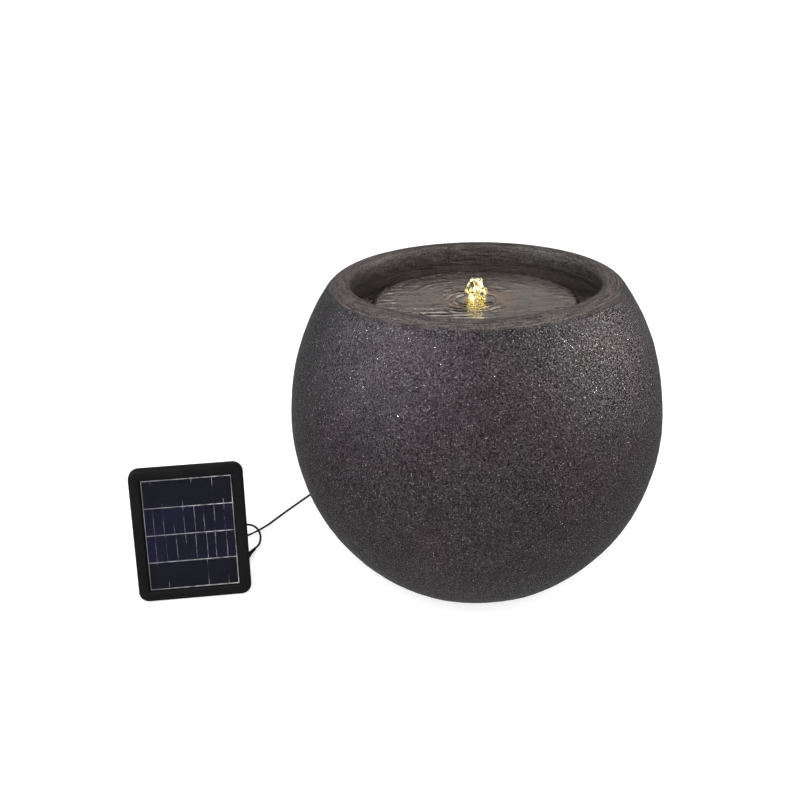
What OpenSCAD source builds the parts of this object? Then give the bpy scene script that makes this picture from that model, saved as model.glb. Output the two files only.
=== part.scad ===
// Bowl fountain with a submersible pump, lit nozzle and a separate solar panel.
// Millimetres. The origin is the centre of the bowl's base, on the floor, +Z up.
// The front faces -Y.

/* [Bowl] */
// Outer radius of the bowl at its widest
bowl_r = 200; // [195:1:205]
// Height of the widest level above the floor
belly_z = 188; // [186:1:190]
// Half height of the ellipse below the widest level
lower_h = 210; // [208:1:214]
// Half height of the ellipse above the widest level
upper_h = 228; // [224:1:232]
// Thickness of the cast wall
wall = 9; // [8:0.5:10]
// Radius at which the wall turns into the lip
shoulder_r = 157; // [155:1:159]
// Radius of the lip's outer rounding
lip_round = 24; // [22:1:25]
// Inner radius of the mouth
mouth_r = 131; // [129:1:132]

/* [Dish] */
// Outer radius of the dish
dish_r = 108.5; // [106:0.5:110]
// Level of the dish's flat top
dish_top = 313; // [311:1:314]
// Radius of the dish's rounded edge
dish_round = 7; // [6:1:10]

/* [Pump] */
// Outer radius of the motor housing
motor_r = 19; // [19:0.5:20]
// Outer radius of the impeller
impeller_r = 12.5; // [11:0.5:13]
// Outer radius of the riser tube
riser_r = 6.5; // [6:0.5:7]

/* [Solar panel] */
// Width of the panel's frame
panel_w = 122; // [120:1:123]
// Height of the panel's frame
panel_h = 151; // [149:1:153]
// Depth of the panel's frame
panel_d = 12; // [12:0.5:14]
// Angle of the panel leaning back
panel_lean = 7; // [6:1:12]
// Depth of the battery box behind the panel
box_d = 20; // [20:1:24]

/* [Cable] */
// Diameter of the cable
cable_d = 2.5; // [2.5:0.1:2.8]
// Angle of the cable gland round the bowl
gland_turn = 120; // [116:1:122]

/* [Hidden] */

$fn = 96;
eps = 0.01;

// ---- colours ----
STONE = [0.24, 0.21, 0.22];
BLACK = [0.06, 0.06, 0.065];
GREY = [0.30, 0.31, 0.33];
STEEL = [0.75, 0.76, 0.78];
COPPER = [0.78, 0.42, 0.20];
BOARD_GREEN = [0.05, 0.28, 0.14];
WHITE = [0.92, 0.92, 0.90];
CLEAR = [0.75, 0.85, 0.90, 0.4];
WARM = [1.0, 0.82, 0.35];

// ---- shared helpers ----
// Point on an ellipse: a across, b up, about the height c.
function on_ellipse(a, b, c, t) = [a * cos(t), c + b * sin(t)];

// Points of a circular arc.
function arc(cx, cy, r, t0, t1, n) =
    [for (i = [0:n]) let (t = t0 + (t1 - t0) * i / n) [cx + r * cos(t), cy + r * sin(t)]];

// A smooth curve through the points, each stretch cut into n.
function blend_point(a, b, c, d, t) =
    0.5 * (2 * b + (c - a) * t + (2 * a - 5 * b + 4 * c - d) * t * t
    + (3 * b - a - 3 * c + d) * t * t * t);
function smooth_route(p, n) = let (last = len(p) - 1)
    [for (i = [0:last - 1]) for (k = [0:n - 1])
        blend_point(p[max(i - 1, 0)], p[i], p[i + 1], p[min(i + 2, last)], k / n), p[last]];

// Directions along a route, and a side vector carried along it without twist.
function unit(v) = v / norm(v);
function heading(p, i) = unit(p[min(i + 1, len(p) - 1)] - p[max(i - 1, 0)]);
function across(v, t) = unit(v - t * (v * t));
function any_side(t) = abs(t[2]) < 0.9 ? cross(t, [0, 0, 1]) : cross(t, [1, 0, 0]);
function sides(p) = [for (i = 0, s = unit(any_side(heading(p, 0))); i < len(p);
    i = i + 1, s = i < len(p) ? across(s, heading(p, i)) : s) s];

// A round tube of m sides swept along the route's points.
module sweep(p, r, m = 8) {
    s = sides(p);
    n = len(p);
    ring = [for (i = [0:n - 1]) let (t = heading(p, i), u = s[i], v = cross(t, u))
        for (k = [0:m - 1]) p[i] + r * (cos(360 * k / m) * u + sin(360 * k / m) * v)];
    walls = [for (i = [0:n - 2]) for (k = [0:m - 1]) let (j = (k + 1) % m)
        [i * m + k, (i + 1) * m + k, (i + 1) * m + j, i * m + j]];
    near = [[for (k = [0:m - 1]) k]];
    far = [[for (k = [m - 1:-1:0]) (n - 1) * m + k]];
    polyhedron(points = ring, faces = concat(walls, near, far), convexity = 8);
}

// A ring between two radii and two levels.
module ring(r_out, r_in, z0, z1) {
    translate([0, 0, z0])
    difference() {
        cylinder(r = r_out, h = z1 - z0);
        translate([0, 0, -1]) cylinder(r = r_in, h = z1 - z0 + 2);
    }
}

// A plate with round corners, standing in the XZ plane, from y0 to y1.
module plate(w, h, r, y0, y1, z0 = 0) {
    translate([0, y1, z0 + h / 2])
    rotate([90, 0, 0])
    linear_extrude(y1 - y0) {
        square([w, h - 2 * r], center = true);
        square([w - 2 * r, h], center = true);
        for (sx = [-1, 1], sz = [-1, 1])
            translate([sx * (w / 2 - r), sz * (h / 2 - r)]) circle(r = r, $fn = 48);
    }
}

// A cylinder along Y.
module rod_y(r, y0, y1, x = 0, z = 0) {
    translate([x, y1, z]) rotate([90, 0, 0]) cylinder(r = r, h = y1 - y0);
}

// A cylinder along X.
module rod_x(r, x0, x1, y = 0, z = 0) {
    translate([x0, y, z]) rotate([0, 90, 0]) cylinder(r = r, h = x1 - x0);
}

// ---- bowl ----
base_t = asin(belly_z / lower_h);
shoulder_t = acos(shoulder_r / bowl_r);
shoulder_z = belly_z + upper_h * sin(shoulder_t);
// Direction that the wall faces at the shoulder
shoulder_a = atan2(sin(shoulder_t) / upper_h, cos(shoulder_t) / bowl_r);
lip_cr = shoulder_r - lip_round * cos(shoulder_a);
lip_cz = shoulder_z - lip_round * sin(shoulder_a);
lip_top = lip_cz + lip_round;
inner_round = lip_cr - mouth_r;
floor_z = 14;
throat_z = lip_top - 20;
throat_t = 25;
inner_r = bowl_r - wall;
inner_floor_t = asin((belly_z - floor_z) / (lower_h - wall));

outer_line = concat(
    [for (i = [0:18]) on_ellipse(bowl_r, -lower_h, belly_z, base_t * (1 - i / 18))],
    [for (i = [1:12]) on_ellipse(bowl_r, upper_h, belly_z, shoulder_t * i / 12)],
    arc(lip_cr, lip_cz, lip_round, shoulder_a + 8, 90, 7)
);
inner_line = concat(
    arc(lip_cr, lip_top - inner_round, inner_round, 90, 180, 5),
    [[mouth_r, throat_z]],
    [for (i = [0:7]) on_ellipse(inner_r, upper_h - wall, belly_z, throat_t * (1 - i / 7))],
    [for (i = [1:16]) on_ellipse(inner_r, -(lower_h - wall), belly_z, inner_floor_t * i / 16)]
);

lug_w = 22;
lug_top = 290;
lug_tip = 96;
lug_turns = [30, 150, 270];
gland_z = 40;
gland_bore = 6;
gland_r0 = bowl_r * sqrt(1 - pow((belly_z - gland_z) / lower_h, 2));
gland_dip = atan2((belly_z - gland_z) / pow(lower_h, 2), gland_r0 / pow(bowl_r, 2));
drain_y = -40;
drain_r = 8;

// Frame of the cable gland: +Z points straight out of the wall.
module at_gland() {
    rotate([0, 0, gland_turn])
    translate([gland_r0, 0, gland_z])
    rotate([0, 90 + gland_dip, 0])
    children();
}

// One moulded bracket under the lip that the dish rests on.
module lug() {
    translate([0, lug_w / 2, 0])
    rotate([90, 0, 0])
    linear_extrude(lug_w)
    polygon([[lug_tip, lug_top], [lug_tip, 281], [130, 258], [184, 258], [184, 272],
        [170, lug_top]]);
}

module bowl() {
    color(STONE)
    difference() {
        union() {
            rotate_extrude()
            polygon(concat([[0, 0]], outer_line, inner_line, [[0, floor_z]]));
            for (a = lug_turns) rotate([0, 0, a]) lug();
        }
        at_gland() {
            translate([0, 0, -40]) cylinder(r = gland_bore, h = 60);
            translate([0, 0, -0.6]) cylinder(r = 10, h = 20);
        }
        translate([0, drain_y, -1]) cylinder(r = drain_r, h = floor_z + 2);
    }
}

module drain_plug() {
    color(BLACK)
    translate([0, drain_y, 0]) {
        translate([0, 0, 2]) cylinder(r = drain_r, h = floor_z - 2);
        translate([0, 0, floor_z]) cylinder(r = drain_r + 3, h = 2.5);
        translate([0, 0, floor_z + 2.5]) cylinder(r = 3, h = 7);
    }
}

tail_len = 22;
barrel_len = 24;

// Rubber gland moulded on the cable: flange, barrel and tapered strain relief.
module bowl_gland() {
    color(BLACK)
    at_gland()
    rotate_extrude()
    polygon([[0, -barrel_len], [gland_bore, -barrel_len], [gland_bore, -0.6], [9, -0.6],
        [9, 1.6], [8, 2.6], [4, 3], [2.2, tail_len], [0, tail_len]]);
}

module gland_nut() {
    color(GREY)
    at_gland()
    translate([0, 0, -wall - 7.5])
    difference() {
        cylinder(r = 10, h = 5, $fn = 6);
        translate([0, 0, -1]) cylinder(r = gland_bore, h = 7);
    }
}

module gland_washer() {
    color(BLACK) at_gland() ring(9.5, gland_bore, -wall - 2.5, -wall - 0.5);
}

// ---- dish and water ----
dish_hole = 23;
dish_skin = 8;
dish_foot = 293;
pad_r = 5;
dish_flat_r = dish_r - dish_round;
film_t = 1.6;

module dish() {
    color(STONE)
    rotate_extrude()
    polygon(concat(
        [[dish_hole, dish_top - dish_skin], [94, dish_top - dish_skin], [96, dish_foot],
            [dish_r, dish_foot]],
        arc(dish_flat_r, dish_top - dish_round, dish_round, 0, 90, 8),
        [[dish_hole, dish_top]]));
}

module dish_pads() {
    color(BLACK)
    for (a = lug_turns)
        rotate([0, 0, a]) translate([102, 0, lug_top]) cylinder(r = pad_r, h = dish_foot - lug_top);
}

// The sheet of water that covers the dish and runs over its edge.
module water_film() {
    color(CLEAR)
    rotate_extrude()
    polygon(concat(
        [[0, dish_top + 0.2]],
        arc(dish_flat_r, dish_top - dish_round + 0.2, dish_round, 90, 8, 8),
        arc(dish_flat_r, dish_top - dish_round, dish_round + film_t, 8, 90, 8),
        [[0, dish_top + film_t]]));
}

// The short bubbling jet over the nozzle.
module water_jet() {
    color(CLEAR)
    translate([0, 0, dish_top + film_t])
    rotate_extrude()
    polygon([[0, 0], [10, 0], [9.5, 3], [11, 8], [11.5, 13], [9.5, 18], [6, 22], [0, 23.5]]);
}

// ---- pump ----
// The motor lies along Y, with its impeller chamber on the riser's axis.
motor_x = -11;
motor_z = 44;
chamber_r = 15;
chamber_y = 4.5;
cover_y = -7.5;
body_y1 = 31;
cap_y1 = 36;
can_r = 7.2;
can_y1 = 26;
coil_r0 = 8.6;
coil_r1 = 17.2;
shaft_r = 1.5;
magnet_r = 6.6;
spigot_r = 4.45;
spigot_bore = 3;
boss_z = 63.6;
boss_top = 70;
seal_r0 = 15.6;
seal_r1 = 17;
seal_depth = 1.2;

module along_motor() {
    translate([motor_x, 0, motor_z]) rotate([-90, 0, 0]) children();
}

// Housing with the rotor can and a ring chamber for the stator.
module pump_body() {
    color(BLACK)
    along_motor()
    difference() {
        translate([0, 0, chamber_y]) cylinder(r = motor_r, h = body_y1 - chamber_y);
        translate([0, 0, chamber_y - 1]) cylinder(r = can_r, h = can_y1 - chamber_y + 1);
        ring(coil_r1, coil_r0, chamber_y + 2, body_y1 + 1);
        ring(seal_r1, seal_r0, chamber_y - 1, chamber_y + seal_depth);
    }
}

module pump_cap() {
    color(BLACK)
    along_motor() {
        translate([0, 0, body_y1]) cylinder(r = motor_r, h = 2.5);
        translate([0, 0, body_y1 + 2.5]) cylinder(r = motor_r - 3, h = cap_y1 - body_y1 - 2.5);
    }
}

core_y0 = 9;
core_y1 = 21;
teeth = 6;

module stator_core() {
    color(STEEL)
    along_motor()
    difference() {
        union() {
            ring(coil_r1, 14.6, core_y0, core_y1);
            for (i = [0:teeth - 1])
                rotate([0, 0, i * 360 / teeth])
                translate([9.2, -1.5, core_y0]) cube([6, 3, core_y1 - core_y0]);
        }
        translate([0, 0, core_y0 - 1]) cylinder(r = 9, h = core_y1 - core_y0 + 2);
    }
}

module stator_coils() {
    color(COPPER)
    along_motor()
    for (i = [0:teeth - 1])
        rotate([0, 0, i * 360 / teeth])
        difference() {
            translate([10.2, -2.7, core_y0 - 1.3]) cube([3.9, 5.4, core_y1 - core_y0 + 2.6]);
            translate([9, -1.5, core_y0]) cube([7, 3, core_y1 - core_y0]);
        }
}

module pump_board() {
    color(BOARD_GREEN) along_motor() ring(16.8, 9, 25, 26.6);
}

// Front cover: impeller chamber, intake mouth and the outlet that stands up.
module volute_cover() {
    color(BLACK)
    difference() {
        union() {
            rod_y(motor_r, cover_y, chamber_y, motor_x, motor_z);
            rod_y(8, cover_y - 4, cover_y + 1, motor_x, motor_z);
            translate([0, 0, motor_z]) cylinder(r = spigot_r, h = boss_top - motor_z);
            translate([0, 0, boss_z]) cylinder(r = 6.2, h = boss_top - boss_z);
            translate([0, 0, boss_top]) cylinder(r = spigot_r, h = 16);
        }
        rod_y(chamber_r, -chamber_y, chamber_y + 1, motor_x, motor_z);
        for (i = [0:3])
            translate([motor_x, 0, motor_z]) rotate([0, i * 90 + 45, 0])
            rod_y(1.9, cover_y - 5, 0, 4.2, 0);
        rod_y(shaft_r + 1, cover_y - 1, 0, motor_x, motor_z);
        translate([0, 0, motor_z + 4]) cylinder(r = spigot_bore, h = 60);
    }
}

module cover_seal() {
    color(BLACK)
    along_motor() ring(seal_r1, seal_r0, chamber_y, chamber_y + seal_depth);
}

// Two bushes that hold the fixed ceramic shaft, front and back.
module shaft_bushes() {
    color(WHITE)
    along_motor() {
        ring(shaft_r + 1, shaft_r, cover_y + 0.2, -chamber_y - 0.2);
        ring(can_r, shaft_r, can_y1 - 2, can_y1);
    }
}

module rotor_shaft() {
    color(WHITE)
    along_motor()
    translate([0, 0, cover_y + 0.2])
    cylinder(r = shaft_r, h = can_y1 - cover_y - 0.2);
}

rotor_bore = shaft_r + 0.05;

module rotor_magnet() {
    color(GREY) along_motor() ring(magnet_r, rotor_bore, 5, 22.5);
}

blades = 6;

module impeller() {
    color(WHITE)
    along_motor()
    difference() {
        union() {
            translate([0, 0, 2.2]) cylinder(r = impeller_r, h = 1.6);
            translate([0, 0, -3]) cylinder(r = 3.4, h = 8);
            for (i = [0:blades - 1])
                rotate([0, 0, i * 360 / blades])
                translate([2.5, -0.6, -3]) cube([impeller_r - 3.2, 1.2, 5.4]);
        }
        translate([0, 0, -4]) cylinder(r = rotor_bore, h = 12);
    }
}

// ---- strainer ----
cage = [[-36, -24, 19], [14, 43, 66]];
cage_skin = 2;
slot_n = 7;
slot_w = 2.4;
intake_xs = [-30, -16];

module strainer_base() {
    color(BLACK) {
        translate([cage[0][0], cage[0][1], cage[0][2]])
            cube([cage[1][0] - cage[0][0], cage[1][1] - cage[0][1], cage_skin]);
        for (y = [10, 26])
            translate([motor_x - 9, y - 2, cage[0][2] + cage_skin]) cube([18, 4, 4]);
    }
}

// Slotted cover over the pump, with a hole for the outlet.
module strainer_cage() {
    lo = cage[0];
    hi = cage[1];
    z0 = lo[2] + cage_skin;
    color(BLACK)
    difference() {
        union() {
            difference() {
                translate([lo[0], lo[1], z0]) cube([hi[0] - lo[0], hi[1] - lo[1], hi[2] - z0]);
                translate([lo[0] + cage_skin, lo[1] + cage_skin, z0 - 1])
                    cube([hi[0] - lo[0] - 2 * cage_skin, hi[1] - lo[1] - 2 * cage_skin,
                        hi[2] - z0 + 1 - cage_skin]);
            }
            // rails of the flow slider
            for (z = [30, 48.5]) translate([-34, lo[1] - 3, z]) cube([44, 3.5, 2]);
        }
        translate([0, 0, hi[2] - 4]) cylinder(r = 6.6, h = 8);
        translate([-9, 28, hi[2] - 4]) cylinder(r = 1.6, h = 8);
        rod_y(1.9, hi[1] - 4, hi[1] + 2, motor_x, 52);
        // intake window behind the slider, in two openings
        for (x = intake_xs) translate([x, lo[1] - 1, 34]) cube([9, 5, 13]);
        for (i = [0:slot_n - 1]) {
            translate([lo[0] - 1, lo[1] + 8 + i * 7.6, 30])
                cube([hi[0] - lo[0] + 2, slot_w, 26]);
        }
    }
}

module filter_foam() {
    color(GREY)
    difference() {
        translate([-33, -21.5, 22]) cube([44, 8, 41]);
        rod_y(1, -30, 0, -40, 40);
    }
}

// Plate with two windows that meet those of the cage, and a thumb rib.
module flow_slider() {
    color(GREY)
    difference() {
        union() {
            translate([-32, cage[0][1] - 2.2, 32.3]) cube([26, 1.9, 15.9]);
            translate([-20, cage[0][1] - 6, 35]) cube([3, 4, 10]);
        }
        for (x = intake_xs) translate([x, cage[0][1] - 3, 35]) cube([9, 5, 10.5]);
    }
}

module suction_cups() {
    color(BLACK)
    for (x = [cage[0][0] + 9, cage[1][0] - 9], y = [cage[0][1] + 9, cage[1][1] - 9])
        translate([x, y, floor_z])
        rotate_extrude($fn = 48)
        polygon([[0, 1.2], [6, 1.2], [8.6, 0], [9, 0.4], [6.6, 2.4], [3, 3.4], [3, 5], [0, 5]]);
}

// ---- riser, nozzle and lamp ----
riser_top = 293;
riser_bore = 4.5;
lamp_r = 22;
lamp_z0 = 297;
lamp_z1 = 312.6;
wire_y = riser_r + 1.4;

module riser_tube() {
    color(BLACK) ring(riser_r, riser_bore, boss_top, riser_top);
}

module wire_clips() {
    color(BLACK)
    for (z = [110, 180, 250])
        translate([0, 0, z])
        difference() {
            union() {
                cylinder(r = riser_r + 1.2, h = 6);
                translate([0, wire_y, 0]) cylinder(r = 2.4, h = 6);
            }
            translate([0, 0, -1]) cylinder(r = riser_r, h = 8);
            translate([0, wire_y, -1]) cylinder(r = 1.15, h = 8);
        }
}

module nozzle() {
    color(BLACK)
    difference() {
        union() {
            translate([0, 0, riser_top - 12]) cylinder(r = spigot_r, h = 13);
            translate([0, 0, riser_top]) cylinder(r = 9, h = lamp_z0 - riser_top);
            translate([0, 0, lamp_z0 - 1]) cylinder(r = 6, h = lamp_z1 - lamp_z0 + 1);
        }
        translate([0, 0, riser_top - 20]) cylinder(r = 2.8, h = 60);
    }
}

module led_housing() {
    color(BLACK)
    difference() {
        union() {
            ring(lamp_r, 6.1, lamp_z0, lamp_z0 + 2.4);
            ring(lamp_r, lamp_r - 2, lamp_z0, lamp_z1);
            ring(8, 6.1, lamp_z0, lamp_z1);
        }
        translate([0, 14, lamp_z0 - 1]) cylinder(r = 1.2, h = 4);
    }
}

module led_board() {
    color(WHITE) ring(lamp_r - 2.3, 8.3, lamp_z0 + 3, lamp_z0 + 4.6);
}

module leds() {
    color(WARM)
    for (i = [0:5])
        rotate([0, 0, i * 60])
        translate([14, 0, lamp_z0 + 4.6]) {
            cylinder(r = 2.6, h = 1.2, $fn = 32);
            translate([0, 0, 1.2]) cylinder(r = 2, h = 2, $fn = 32);
        }
}

module led_lens() {
    color(CLEAR) ring(lamp_r - 2, 8, lamp_z0 + 10.5, lamp_z1);
}

// ---- leads inside the bowl ----
gland_in = [gland_r0 - barrel_len * cos(gland_dip), gland_z + barrel_len * sin(gland_dip)];
gland_c = cos(gland_turn);
gland_s = sin(gland_turn);
function gland_point(back) =
    let (r = gland_in[0] - back * cos(gland_dip), z = gland_in[1] + back * sin(gland_dip))
    [r * gland_c, r * gland_s, z];

pump_lead_route = [
    [motor_x, cap_y1, 52], [-11, 46, 52], [-14, 54, 49], [-20, 62, 46], [-30, 70, 47],
    [-42, 80, 54], gland_point(14), gland_point(6), gland_point(0)
];
led_wire_route = [
    [-9, 28, 63], [-9, 28, 69], [-7, 22, 78], [-3, 13, 88], [0, wire_y, 98],
    [0, wire_y, 108], [0, wire_y, 150], [0, wire_y, 200], [0, wire_y, 250],
    [0, wire_y, 270], [0, wire_y + 1, 280], [0, 12.5, lamp_z0 - 8], [0, 14, lamp_z0 - 2],
    [0, 14, lamp_z0 + 3]
];

module pump_lead() {
    color(BLACK) sweep(smooth_route(pump_lead_route, 3), cable_d / 2);
}

module led_wire() {
    color(BLACK) sweep(smooth_route(led_wire_route, 3), 1.1);
}

// ---- cable outside ----
lie = cable_d / 2;
coil_at = [-128, 232];
coil_r = 15;
coil_across = 4;
coil_layers = 4;
coil_out = coil_r + coil_across * cable_d / 2;
coil_in = coil_r - coil_across * cable_d / 2;
coil_h = coil_layers * cable_d;
coil_lane = coil_out - cable_d / 2;
coil_top = coil_h - cable_d / 2;
exit_r = gland_r0 + tail_len * cos(gland_dip);
exit_z = gland_z - tail_len * sin(gland_dip);

start_route = [
    [exit_r * gland_c, exit_r * gland_s, exit_z], [-82, 142, 19], [-87, 151, 11],
    [-93, 162, 5], [-98, 173, 1.8], [-102, 185, lie], [-106, 203, lie], [-109, 219, lie],
    [coil_at[0] + coil_lane, coil_at[1], lie]
];

// From the coil to the plug: a straight run, then one small loop by the panel.
run_route = [
    [coil_at[0] - coil_lane * 0.707, coil_at[1] + coil_lane * 0.707, coil_top],
    [-149, 237.5, 8], [-159, 227.5, 6.2], [-169.5, 217, 4.2], [-180, 206, 2.4],
    [-190, 194.5, lie], [-199.8, 182, lie], [-208.8, 168.8, lie], [-217.5, 153.5, lie],
    [-226.3, 137, lie], [-235.8, 119, lie], [-244.8, 101, lie], [-251.2, 87, 1.8],
    [-256, 76, 3.1], [-260.4, 67.4, 3.9], [-265.6, 62, 3.5], [-272, 58, 2.2],
    [-279, 54.8, lie], [-286.5, 53.4, lie], [-293.5, 55.5, lie], [-298.3, 61, lie],
    [-299.5, 68.5, lie], [-297.3, 76.2, lie], [-292, 82.5, lie], [-285.2, 86, lie],
    [-278.2, 86.6, lie], [-271.6, 84.5, lie], [-265.8, 78.6, lie], [-261.4, 70.3, lie],
    [-258.2, 61, lie], [-256.4, 51.5, lie], [-255.8, 42, 1.4], [-256.2, 33, 2.2],
    [-258.2, 23.5, 3.4]
];
plug_at = [-258.2, 23.5, 3.4];
plug_turn = 250;
plug_r = 3.4;
plug_tail = 15;
plug_len = 12;
socket_len = 13;

module cable_start() {
    color(BLACK) sweep(smooth_route(start_route, 2), cable_d / 2);
}

module cable_coil() {
    color(BLACK)
    translate([coil_at[0], coil_at[1], 0])
    rotate_extrude()
    translate([coil_in, 0]) square([coil_out - coil_in, coil_h]);
}

// Wire tie round the coil, on the side away from the leads.
module coil_tie() {
    color(GREY)
    translate([coil_at[0], coil_at[1], 0])
    rotate([0, 0, 250])
    difference() {
        translate([coil_in - 0.8, -2, 0]) cube([coil_out - coil_in + 1.6, 4, coil_h + 0.8]);
        translate([coil_in, -3, -1]) cube([coil_out - coil_in, 6, coil_h + 1]);
    }
}

module power_cable() {
    color(BLACK) sweep(smooth_route(run_route, 2), cable_d / 2);
}

module along_plug() {
    translate(plug_at) rotate([0, 0, plug_turn]) rotate([0, 90, 0]) children();
}

module cable_plug() {
    color(BLACK)
    along_plug()
    rotate_extrude($fn = 48)
    polygon([[0, 0], [2, 0], [2.2, 1], [2.6, plug_tail - 1], [3, plug_tail], [plug_r, plug_tail + 1],
        [plug_r, plug_tail + plug_len], [0, plug_tail + plug_len]]);
}

module lead_socket() {
    color(BLACK)
    along_plug()
    rotate_extrude($fn = 48)
    translate([0, plug_tail + plug_len])
    polygon([[0, 0], [plug_r, 0], [plug_r, socket_len - 6], [2.6, socket_len - 5],
        [1.7, socket_len], [0, socket_len]]);
}

// ---- solar panel ----
// The panel's own frame: X across, Z up its face, +Y behind it. The lower back
// edge stands on the floor.
panel_at = [-308.8, -73];
panel_turn = 10;
corner_r = 11;
window = [99, 129];
sheet_w = 103;
sheet_h = 133;
rebate_w = panel_w - 6;
rebate_h = panel_h - 6;
back_t = 2.4;
seal_t = 0.8;
front_lip = 2;
glass_t = 1;
cell_t = 0.3;
board_t = 1.5;
glass_y = -panel_d + front_lip;
cell_y = glass_y + glass_t;
board_y = cell_y + cell_t;
mid_z = panel_h / 2;

module on_panel() {
    translate([panel_at[0], panel_at[1], 0])
    rotate([0, 0, panel_turn])
    rotate([-panel_lean, 0, 0])
    children();
}

// A point of the panel's frame, in the part's frame.
function panel_point(p) =
    let (y = p[1] * cos(panel_lean) + p[2] * sin(panel_lean),
        z = p[2] * cos(panel_lean) - p[1] * sin(panel_lean))
    [panel_at[0] + p[0] * cos(panel_turn) - y * sin(panel_turn),
        panel_at[1] + p[0] * sin(panel_turn) + y * cos(panel_turn), z];

screw_x = panel_w / 2 - 7;
screw_zs = [8.5, mid_z, panel_h - 8.5];

module case_screw_rods(r, y0, y1) {
    for (x = [-screw_x, screw_x], z = screw_zs) rod_y(r, y0, y1, x, z);
}

module panel_frame() {
    color(BLACK)
    on_panel()
    difference() {
        plate(panel_w, panel_h, corner_r, -panel_d, 0);
        translate([-window[0] / 2, -panel_d - 1, mid_z - window[1] / 2])
            cube([window[0], panel_d + 2, window[1]]);
        translate([-sheet_w / 2, glass_y, mid_z - sheet_h / 2])
            cube([sheet_w, panel_d, sheet_h]);
        plate(rebate_w, rebate_h, corner_r - 3, -back_t - seal_t, 1, (panel_h - rebate_h) / 2);
        case_screw_rods(1.1, -back_t - seal_t - 5, 0);
    }
}

module panel_glass() {
    color(CLEAR)
    on_panel()
    translate([-sheet_w / 2, glass_y, mid_z - sheet_h / 2]) cube([sheet_w, glass_t, sheet_h]);
}

strips = 4;
ribbon_side = 47.6;
ribbon_w = 1.2;
strip_pitch = 31.2;
strip_gap = 1.2;
strips_z0 = mid_z - strips * strip_pitch / 2;

module solar_cells() {
    color([0.05, 0.07, 0.18])
    on_panel()
    for (i = [0:strips - 1])
        translate([-ribbon_side + ribbon_w / 2, cell_y, strips_z0 + i * strip_pitch + strip_gap / 2])
            cube([2 * ribbon_side - ribbon_w, cell_t, strip_pitch - strip_gap]);
}

// Silver ribbons: one down each side and one between the cell strips.
module cell_ribbons() {
    color(STEEL)
    on_panel() {
        for (x = [-ribbon_side, ribbon_side])
            translate([x - ribbon_w / 2, cell_y, strips_z0 - strip_gap / 2])
                cube([ribbon_w, cell_t, strips * strip_pitch + strip_gap]);
        for (i = [0:strips])
            translate([-ribbon_side + ribbon_w / 2, cell_y,
                strips_z0 + i * strip_pitch - strip_gap / 2])
                cube([2 * ribbon_side - ribbon_w, cell_t, strip_gap]);
    }
}

module cell_board() {
    color(WHITE)
    on_panel()
    translate([-sheet_w / 2, board_y, mid_z - sheet_h / 2]) cube([sheet_w, board_t, sheet_h]);
}

module case_seal() {
    color(GREY)
    on_panel()
    difference() {
        plate(rebate_w, rebate_h, corner_r - 3, -back_t - seal_t, -back_t,
            (panel_h - rebate_h) / 2);
        translate([-sheet_w / 2, -panel_d, mid_z - sheet_h / 2])
            cube([sheet_w, panel_d + 1, sheet_h]);
        case_screw_rods(1.6, -10, 1);
    }
}

// ---- back cover, battery box and hinge ----
box_w = 92;
box_z0 = 84;
box_h = 54;
box_t = 2.2;
cover_t = 2;
gland_x = 37;
gland_y = 9;
hinge_y = 6;
hinge_z = 74;
ear_x0 = 26.8;
ear_x1 = 31;
pin_r = 1.5;
barrel_r = 4;
box_screw_x = box_w / 2 - 5;
box_screw_zs = [box_z0 + 5, box_z0 + box_h - 5];
board_post_x = 26;
board_post_z = 130;
cb_y0 = 13;
cb_t = 1.6;
switch_h = 3.2;
button_at = [-18, 122];
lens_at = [6, 122];

module box_screw_rods(r, y0, y1) {
    for (x = [-box_screw_x, box_screw_x], z = box_screw_zs) rod_y(r, y0, y1, x, z);
}

// One ear of the hinge, standing out of the back cover.
module hinge_ear(x0) {
    rod_x(barrel_r, x0, x0 + ear_x1 - ear_x0, hinge_y, hinge_z);
    translate([x0, -0.5, hinge_z - barrel_r])
        cube([ear_x1 - ear_x0, hinge_y + 0.5, 2 * barrel_r]);
}

module panel_back() {
    color(BLACK)
    on_panel()
    difference() {
        union() {
            plate(rebate_w, rebate_h, corner_r - 3, -back_t, 0, (panel_h - rebate_h) / 2);
            difference() {
                translate([-box_w / 2, -eps, box_z0]) cube([box_w, box_d + eps, box_h]);
                translate([-box_w / 2 + box_t, 0, box_z0 + box_t])
                    cube([box_w - 2 * box_t, box_d + 1, box_h - 2 * box_t]);
            }
            box_screw_rods(4.4, -0.5, box_d);
            for (x = [-board_post_x, board_post_x]) rod_y(3, -0.5, cb_y0, x, board_post_z);
            hinge_ear(-ear_x1);
            hinge_ear(ear_x0);
        }
        case_screw_rods(1.6, -5, 1);
        case_screw_rods(3, -1.4, 1);
        box_screw_rods(1.1, box_d - 8, box_d + 1);
        for (x = [-board_post_x, board_post_x]) rod_y(0.9, cb_y0 - 6, cb_y0 + 1, x, board_post_z);
        rod_x(pin_r, -40, 40, hinge_y, hinge_z);
        // hole for the cell wires
        rod_y(3, -5, 1, 0, 112);
        translate([gland_x, gland_y, box_z0 - 1]) cylinder(r = 3, h = 5);
    }
}

module case_screws() {
    color(STEEL)
    on_panel() {
        case_screw_rods(1.1, -back_t - seal_t - 5, -1.4);
        case_screw_rods(2.6, -1.4, 0);
    }
}

module box_cover() {
    color(BLACK)
    on_panel()
    difference() {
        plate(box_w, box_h, 3, box_d, box_d + cover_t, box_z0);
        rod_y(5.15, box_d - 1, box_d + 5, button_at[0], button_at[1]);
        rod_y(2.5, box_d - 1, box_d + 5, lens_at[0], lens_at[1]);
        box_screw_rods(1.3, box_d - 1, box_d + 5);
    }
}

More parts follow.
